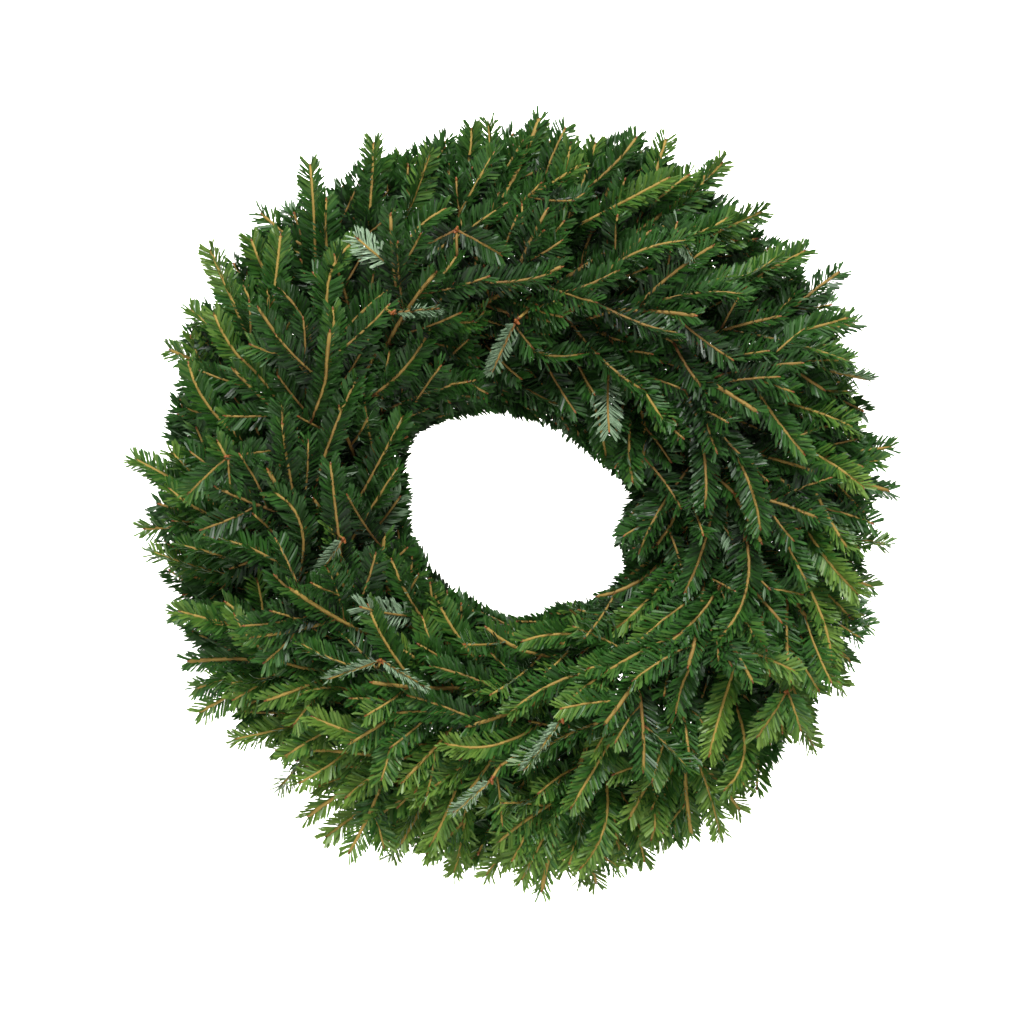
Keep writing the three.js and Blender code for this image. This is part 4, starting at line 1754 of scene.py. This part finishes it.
@dataclass(frozen=True)
class NeedleFinish:
    """Fir needle: a waxy cuticle, deep green above, with two pale bands of wax beneath.

    The cuticle gives a soft shine. Needles of one shoot are alike and share its painted light and
    shade. Those near a shoot's tip are lighter and yellower than the old ones near its root: partly
    young growth, partly painted shade near the root.
    """

    # Greens from dark to light; the dark one also stands for painted shade deep in the foliage
    deep: str = "#11240f"
    fresh: str = "#305f1f"
    yellowed: str = "#6e8e38"
    under: str = "#3f5c3a"
    wax: str = "#a9c5a2"
    roughness: float = 0.42
    ior: float = 1.44
    # Patches as wide as a spray
    patch: float = 110.0
    # Lightness, partly freshness and partly painted light and shade: its base, and weights of patch,
    # shoot, needle and place along the twig
    base: float = -0.45
    weights: tuple[float, ...] = (0.4, 0.65, 0.35, 0.5)
    fresh_end: float = 0.6
    yellow_end: float = 1.05
    # V where the lower side and its wax bands start, half their pitch, and their soft edge
    lower_start: float = 0.5
    band_start: float = 0.53
    half_pitch: float = 0.115
    band_edge: Pair = (0.025, 0.045)
    # Wax bands' strength, weaker on darker shoots, partly as painted shade
    bloom_and_painted_shade: Pair = (0.4, 0.9)

    def material(self) -> bpy.types.Material:
        """The cuticle: colour by needle, by shoot and along the twig, with painted light and shade;
        wax bands by the UV map.

        Returns:
            The material.
        """
        material, tree, shader = new_material("fir_needle_cuticle", self.roughness)
        tone = add_node(tree, "Attribute", {"attribute_name": "tone"})
        by_needle, by_shoot, along = add_node(tree, "SeparateColor", inputs={"Color": tone}).outputs
        coords = add_node(tree, "TexCoord")
        patches = add_node(tree, "TexNoise", inputs={
            "Vector": coords.outputs["Object"], "Scale": 1 / (self.patch * MM), "Detail": 2.0})
        varied = self.base
        # The shoot's shade and the place along the twig bring painted light and shade
        for pattern, weight in zip((patches, by_shoot, by_needle, along), self.weights):
            varied = add_node(tree, "Math", WEIGHTED, {0: pattern, 1: weight, 2: varied})
        fresh_and_painted_light = add_node(tree, "MapRange", inputs={0: varied, 1: 0.0, 2: self.fresh_end})
        yellowed_and_painted_light = add_node(tree, "MapRange", inputs={
            0: varied, 1: self.fresh_end, 2: self.yellow_end})
        upper = add_node(tree, "Mix", COLOUR_MIX, {
            FACTOR: fresh_and_painted_light, LOW: self.deep, HIGH: self.fresh})
        upper = add_node(tree, "Mix", COLOUR_MIX, {
            FACTOR: yellowed_and_painted_light, LOW: upper, HIGH: self.yellowed})
        # The lower side lies past the middle of V, and its wax in two bands beside the keel
        uv = add_node(tree, "UVMap", {"uv_map": "UVMap"})
        _, across, _ = add_node(tree, "SeparateXYZ", inputs={0: uv}).outputs
        lower_side = add_node(tree, "Math", {"operation": "GREATER_THAN"},
                              {0: across, 1: self.lower_start})
        from_edge = add_node(tree, "Math", {"operation": "SUBTRACT"},
                             {0: across, 1: self.band_start})
        band = add_node(tree, "Math", {"operation": "PINGPONG"}, {0: from_edge, 1: self.half_pitch})
        # Wax bands fainter on darker shoots, carrying their painted shade too
        bloom_and_painted_shade = add_node(tree, "MapRange", inputs={
            0: by_shoot, 1: 0.0, 2: 0.5, 3: self.bloom_and_painted_shade[0], 4: self.bloom_and_painted_shade[1]})
        band = add_node(tree, "MapRange", inputs={
            0: band, 1: self.band_edge[0], 2: self.band_edge[1], 4: bloom_and_painted_shade})
        lower = add_node(tree, "Mix", COLOUR_MIX, {FACTOR: band, LOW: self.under, HIGH: self.wax})
        colour = add_node(tree, "Mix", COLOUR_MIX, {FACTOR: lower_side, LOW: upper, HIGH: lower})
        set_inputs(shader, {"Base Color": colour, "IOR": self.ior})
        return material


@dataclass(frozen=True)
class TwigFinish:
    """Young fir twig: thin golden-tan bark, which is matt and slightly uneven.

    It is golden where it is young, browner in patches and on darker shoots, where it is painted
    shade, and russet where it joins its parent.
    """

    golden: str = "#ad9044"
    brown: str = "#76552a"
    russet: str = "#70381f"
    roughness: float = 0.7
    patch: float = 6.0
    relief: float = 0.4
    # Brownness, with painted shade from the shoot's shade: its base, and weights of patch, shoot and
    # place along the twig
    base: float = -0.25
    weights: tuple[float, ...] = (0.6, -0.75, -0.4)
    brown_span: Pair = (-0.7, 0.1)
    # Place along the twig where russet fades out, and the most of it
    russet_span: Pair = (0.02, 0.17)
    russet_most: float = 0.8

    def material(self) -> bpy.types.Material:
        """The bark: golden and brown in patches a few millimetres long, browner on darker shoots as
        painted shade, with a fine bump.

        Returns:
            The material.
        """
        material, tree, shader = new_material("young_fir_bark", self.roughness)
        coords = add_node(tree, "TexCoord")
        patches = add_node(tree, "TexNoise", inputs={
            "Vector": coords.outputs["Object"], "Scale": 1 / (self.patch * MM), "Detail": 3.0})
        tone = add_node(tree, "Attribute", {"attribute_name": "tone"})
        by_shoot, along, _ = add_node(tree, "SeparateColor", inputs={"Color": tone}).outputs
        varied = self.base
        # The shoot's shade browns the twigs of darker shoots, as painted shade
        for pattern, weight in zip((patches, by_shoot, along), self.weights):
            varied = add_node(tree, "Math", WEIGHTED, {0: pattern, 1: weight, 2: varied})
        browned_and_painted_shade = add_node(tree, "MapRange", inputs={
            0: varied, 1: self.brown_span[0], 2: self.brown_span[1]})
        colour = add_node(tree, "Mix", COLOUR_MIX, {
            FACTOR: browned_and_painted_shade, LOW: self.golden, HIGH: self.brown})
        near_root = add_node(tree, "MapRange", inputs={
            0: along, 1: self.russet_span[0], 2: self.russet_span[1], 3: self.russet_most, 4: 0.0})
        colour = add_node(tree, "Mix", COLOUR_MIX, {
            FACTOR: near_root, LOW: colour, HIGH: self.russet})
        bump = add_node(tree, "Bump", inputs={
            "Strength": 0.4, "Distance": self.relief * MM, "Height": patches})
        set_inputs(shader, {"Base Color": colour, "Normal": bump})
        return material


@dataclass(frozen=True)
class BudFinish:
    """Fir bud: orange-brown scales under a film of resin, which gives them a gloss."""

    light: str = "#a8602c"
    dark: str = "#5f381d"
    roughness: float = 0.35
    scale_width: float = 1.1
    # Darkness: its base, and weights of scale and bud
    base: float = -0.1
    weights: tuple[float, ...] = (0.5, 0.6)

    def material(self) -> bpy.types.Material:
        """The scales: colour by bud and by scale.

        Returns:
            The material.
        """
        material, tree, shader = new_material("resinous_fir_bud", self.roughness)
        coords = add_node(tree, "TexCoord")
        scales = add_node(tree, "TexVoronoi", inputs={
            "Vector": coords.outputs["Object"], "Scale": 1 / (self.scale_width * MM)})
        tone = add_node(tree, "Attribute", {"attribute_name": "tone"})
        by_bud, _, _ = add_node(tree, "SeparateColor", inputs={"Color": tone}).outputs
        varied = self.base
        for pattern, weight in zip((scales, by_bud), self.weights):
            varied = add_node(tree, "Math", WEIGHTED, {0: pattern, 1: weight, 2: varied})
        colour = add_node(tree, "Mix", COLOUR_MIX, {
            FACTOR: varied, LOW: self.light, HIGH: self.dark})
        set_inputs(shader, {"Base Color": colour})
        return material


@dataclass(frozen=True)
class BarkFinish:
    """Cut fir stem: rough grey-brown bark, split by fine fissures along the stem, quite matt."""

    grey: str = "#7b6c58"
    brown: str = "#4a3a2a"
    roughness: float = 0.85
    # Real fissures lie about half a millimetre apart; these, 1.3 mm, are as coarse as shows
    fissures_round: float = 14.0
    fissure_length: float = 2.9
    patch: float = 8.0
    relief: float = 0.6
    # Greyness: its base, and weights of patch and fissure
    base: float = -0.67
    weights: tuple[float, ...] = (1.1, 1.3)

    def material(self) -> bpy.types.Material:
        """The bark: grey over brown in patches, fissured along the stem.

        Returns:
            The material.
        """
        material, tree, shader = new_material("fir_stem_bark", self.roughness)
        # The UV map counts turns across and millimetres along
        uv = add_node(tree, "UVMap", {"uv_map": "UVMap"})
        place = add_node(tree, "Mapping", inputs={
            "Vector": uv, "Scale": (self.fissures_round, 1 / self.fissure_length, 1.0)})
        fissures = add_node(tree, "TexNoise", inputs={"Vector": place, "Scale": 1.0, "Detail": 4.0})
        coords = add_node(tree, "TexCoord")
        patches = add_node(tree, "TexNoise", inputs={
            "Vector": coords.outputs["Object"], "Scale": 1 / (self.patch * MM), "Detail": 2.0})
        varied = self.base
        for pattern, weight in zip((patches, fissures), self.weights):
            varied = add_node(tree, "Math", WEIGHTED, {0: pattern, 1: weight, 2: varied})
        colour = add_node(tree, "Mix", COLOUR_MIX, {
            FACTOR: varied, LOW: self.brown, HIGH: self.grey})
        bump = add_node(tree, "Bump", inputs={
            "Strength": 0.6, "Distance": self.relief * MM, "Height": fissures})
        set_inputs(shader, {"Base Color": colour, "Normal": bump})
        return material


@dataclass(frozen=True)
class WireFinish:
    """Ring wire: steel dipped in dark green paint, glossy where whole and dull where scuffed."""

    paint: str = "#1f3324"
    scuffed: str = "#4d5a4c"
    glossy: float = 0.35
    dull: float = 0.65
    scuff: float = 4.5
    worn: Pair = (0.52, 0.74)

    def material(self) -> bpy.types.Material:
        """The paint: green with greyer scuffs, rougher where scuffed.

        Returns:
            The material.
        """
        material, tree, shader = new_material("green_dipped_steel_wire", self.glossy)
        coords = add_node(tree, "TexCoord")
        scuffs = add_node(tree, "TexNoise", inputs={
            "Vector": coords.outputs["Object"], "Scale": 1 / (self.scuff * MM), "Detail": 4.0})
        worn = add_node(tree, "MapRange", inputs={0: scuffs, 1: self.worn[0], 2: self.worn[1]})
        colour = add_node(tree, "Mix", COLOUR_MIX, {
            FACTOR: worn, LOW: self.paint, HIGH: self.scuffed})
        rough = add_node(tree, "MapRange", inputs={0: scuffs, 3: self.glossy, 4: self.dull})
        set_inputs(shader, {"Base Color": colour, "Roughness": rough})
        return material


def finish_piece(piece: bpy.types.Object, material: bpy.types.Material) -> None:
    """Gives a piece its material and its body.

    Args:
        piece: the new object.
        material: its material.
    """
    piece.data.materials.append(material)
    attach(piece, "root")
    LOG.info("%s: %d faces", piece.name, len(piece.data.polygons))


@dataclass
class Foliage:
    """All sprays of the wreath: needles, twigs and buds on the planned and the filling shoots."""

    layout: Layout
    # Shade of a shoot before its place and depth add painted light and shade, and how far it strays
    shade: float = 0.37
    shade_stray: float = 0.16
    # Painted light and shade that its place adds: darker at the top and sides, lighter in the lowest
    # third, and by radius, darker inside and lighter near the rim
    base: float = -0.24
    low_third: float = 0.54
    low_start: float = 0.1
    low_span: float = 0.85
    low_most: float = 1.1
    radii: tuple[float, ...] = (100, 140, 180, 200, 225, 270)
    by_radius: tuple[float, ...] = (-0.08, -0.07, -0.12, -0.05, 0.2, 0.36)

    def painted_light_and_shade(self, point: Array) -> float:
        """Painted light and shade on a shoot at a place: lightest in the lowest third, and near the
        rim.

        Args:
            point: middle of the shoot.

        Returns:
            Painted light that joins the shoot's shade, below zero for painted shade.
        """
        below = -math.cos(math.atan2(point[0], point[2] - self.layout.centre_z))
        low = min(max((below - self.low_start) / self.low_span, 0.0), self.low_most)
        return self.base + self.low_third * low + float(
            np.interp(self.layout.radius_of(point), self.radii, self.by_radius))

    def build(self) -> None:
        """Builds every bunch and reports its pieces."""
        needle_material = NeedleFinish().material()
        twig_material = TwigFinish().material()
        bud_material = BudFinish().material()
        needles, twigs, buds = Needles(self.layout), Twigs(), Buds()
        sprays = self.layout.plan()
        Filler(self.layout).add_all(sprays, needles)
        for bunch in range(self.layout.bunch_count):
            rng = np.random.default_rng(Seed.SHADE + bunch)
            bunch_shoots = []
            for kind in Kind:
                shoots = sprays[kind, bunch]
                for shoot in shoots:
                    # Random shade, with painted light and shade by place and by depth
                    mean = self.shade + self.painted_light_and_shade(shoot.middle) + shoot.layer.value
                    shoot.shade = float(np.clip(rng.normal(mean, self.shade_stray), 0, 1))
                piece = needles.build(f"{kind.label}_needles_{bunch + 1:02d}", shoots,
                                      Seed.NEEDLES + 10 * bunch + kind.value)
                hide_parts(f"{kind.label}_spray_{bunch + 1:02d}")
                finish_piece(piece, needle_material)
                bunch_shoots += shoots
            finish_piece(twigs.build(f"twigs_{bunch + 1:02d}", bunch_shoots), twig_material)
            finish_piece(buds.build(f"buds_{bunch + 1:02d}", bunch_shoots, Seed.BUDS + bunch),
                         bud_material)
            LOG.info("bunch %d: %d shoots", bunch + 1, len(bunch_shoots))


@dataclass(frozen=True)
class Lamp:
    """Square soft light: place, target and side in metres, power in watts, and its beam's angle."""

    name: str
    place: tuple[float, float, float]
    target: tuple[float, float, float]
    power: float
    size: float
    spread: float = 180.0

    def build(self) -> None:
        """Adds the light to the scene, turned to its target."""
        data = bpy.data.lights.new(self.name, "AREA")
        data.spread = math.radians(self.spread)
        data.shape = "SQUARE"
        data.size = self.size
        data.energy = self.power
        lamp = add_object(self.name, data)
        lamp.location = self.place
        direction = Vector(self.target) - Vector(self.place)
        lamp.rotation_euler = direction.to_track_quat("-Z", "Y").to_euler()


@dataclass
class Studio:
    """Pale floor that curves up into a far backdrop, soft lights, and the camera, in metres."""

    layout: Layout
    floor_z: float = -1.35
    floor_front: float = -6.0
    backdrop_y: float = 3.2
    backdrop_top: float = 5.0
    half_width: float = 7.0
    curve: float = 1.0
    curve_rows: int = 24
    wreath_y: float = -0.04
    lens: float = 70.0
    sensor: float = 36.0
    # Light of the air: dimmer in front of the wreath, so that its hollows stay dark
    air_span: Pair = (-0.6, 0.1)
    air_ahead: float = 0.26
    air_behind: float = 0.6
    paper: str = "#f4f2ee"
    roughness: float = 0.9

    def sweep(self) -> None:
        """Builds the floor and backdrop as one sheet, joined by a quarter circle."""
        front, low = self.backdrop_y - self.curve, self.floor_z + self.curve
        profile = [(self.floor_front, self.floor_z), (front, self.floor_z)]
        profile += [(front + self.curve * math.sin(t), low - self.curve * math.cos(t))
                    for t in np.linspace(0, math.pi / 2, self.curve_rows)[1:]]
        line = np.array(profile + [(self.backdrop_y, self.backdrop_top)])
        count = len(line)
        points = np.vstack([np.column_stack([np.full(count, side), line])
                            for side in (-self.half_width, self.half_width)])
        rows = np.arange(count - 1)
        quads = np.stack([rows, rows + count, rows + count + 1, rows + 1], -1)
        mesh = bpy.data.meshes.new("studio_sweep")
        mesh.from_pydata(points.tolist(), [], quads.tolist())
        mesh.shade_smooth()
        piece = add_object("studio_sweep", mesh)
        material, _, shader = new_material("matt_studio_paper", self.roughness)
        set_inputs(shader, {"Base Color": self.paper})
        piece.data.materials.append(material)

    def camera(self) -> None:
        """Adds the camera, level with the wreath, so that the hole's centre falls on its pixel."""
        data = bpy.data.cameras.new("camera")
        data.lens = self.lens
        data.sensor_width = self.sensor
        data.clip_end = 60.0
        camera = add_object("camera", data)
        pixel = PIXEL_MM * MM
        distance = IMAGE_SIDE * pixel * self.lens / self.sensor
        right, down = ((place - IMAGE_SIDE / 2) * pixel for place in HOLE_PIXEL)
        camera.location = (-right, self.wreath_y - distance, self.layout.centre_z * MM + down)
        camera.rotation_euler = (math.pi / 2, 0.0, 0.0)
        bpy.context.scene.camera = camera

    def air(self) -> None:
        """Adds the world's even light, whose strength depends on the direction it comes from."""
        world = bpy.data.worlds.new("studio_air")
        world.use_nodes = True
        tree = world.node_tree
        way = add_node(tree, "TexCoord")
        _, back, _ = add_node(tree, "SeparateXYZ", inputs={0: way.outputs["Generated"]}).outputs
        strength = add_node(tree, "MapRange", inputs={
            0: back, 1: self.air_span[0], 2: self.air_span[1],
            3: self.air_ahead, 4: self.air_behind})
        set_inputs(tree.nodes["Background"], {"Color": "#ffffff", "Strength": strength})
        bpy.context.scene.world = world

    def build(self) -> None:
        """Builds the stage, world, lights and camera."""
        self.sweep()
        self.air()
        wreath = (0.0, self.wreath_y, self.layout.centre_z * MM)
        low_backdrop = (0.0, self.backdrop_y, -0.3)
        for lamp in (Lamp("key", (0.2, -3.0, 2.9), wreath, 190.0, 1.3),
                     Lamp("fill", (-1.8, -2.2, 0.2), wreath, 7.0, 1.6),
                     Lamp("backdrop_wash", (0.0, 1.2, 2.1), low_backdrop, 150.0, 1.6, 100.0)):
            lamp.build()
        bpy.context.scene.view_settings.view_transform = "Standard"
        self.camera()


def main() -> None:
    """Builds the studio and the wreath, in order."""
    logging.basicConfig(level=logging.INFO, format="%(name)s: %(message)s")
    layout = Layout()
    Studio(layout).build()
    finish_piece(ClampRing(layout).build(), WireFinish().material())
    stems = Stems(layout)
    bark = BarkFinish().material()
    for bunch in range(layout.bunch_count):
        finish_piece(stems.build(bunch), bark)
    Foliage(layout).build()


if __name__ == "__main__":
    main()
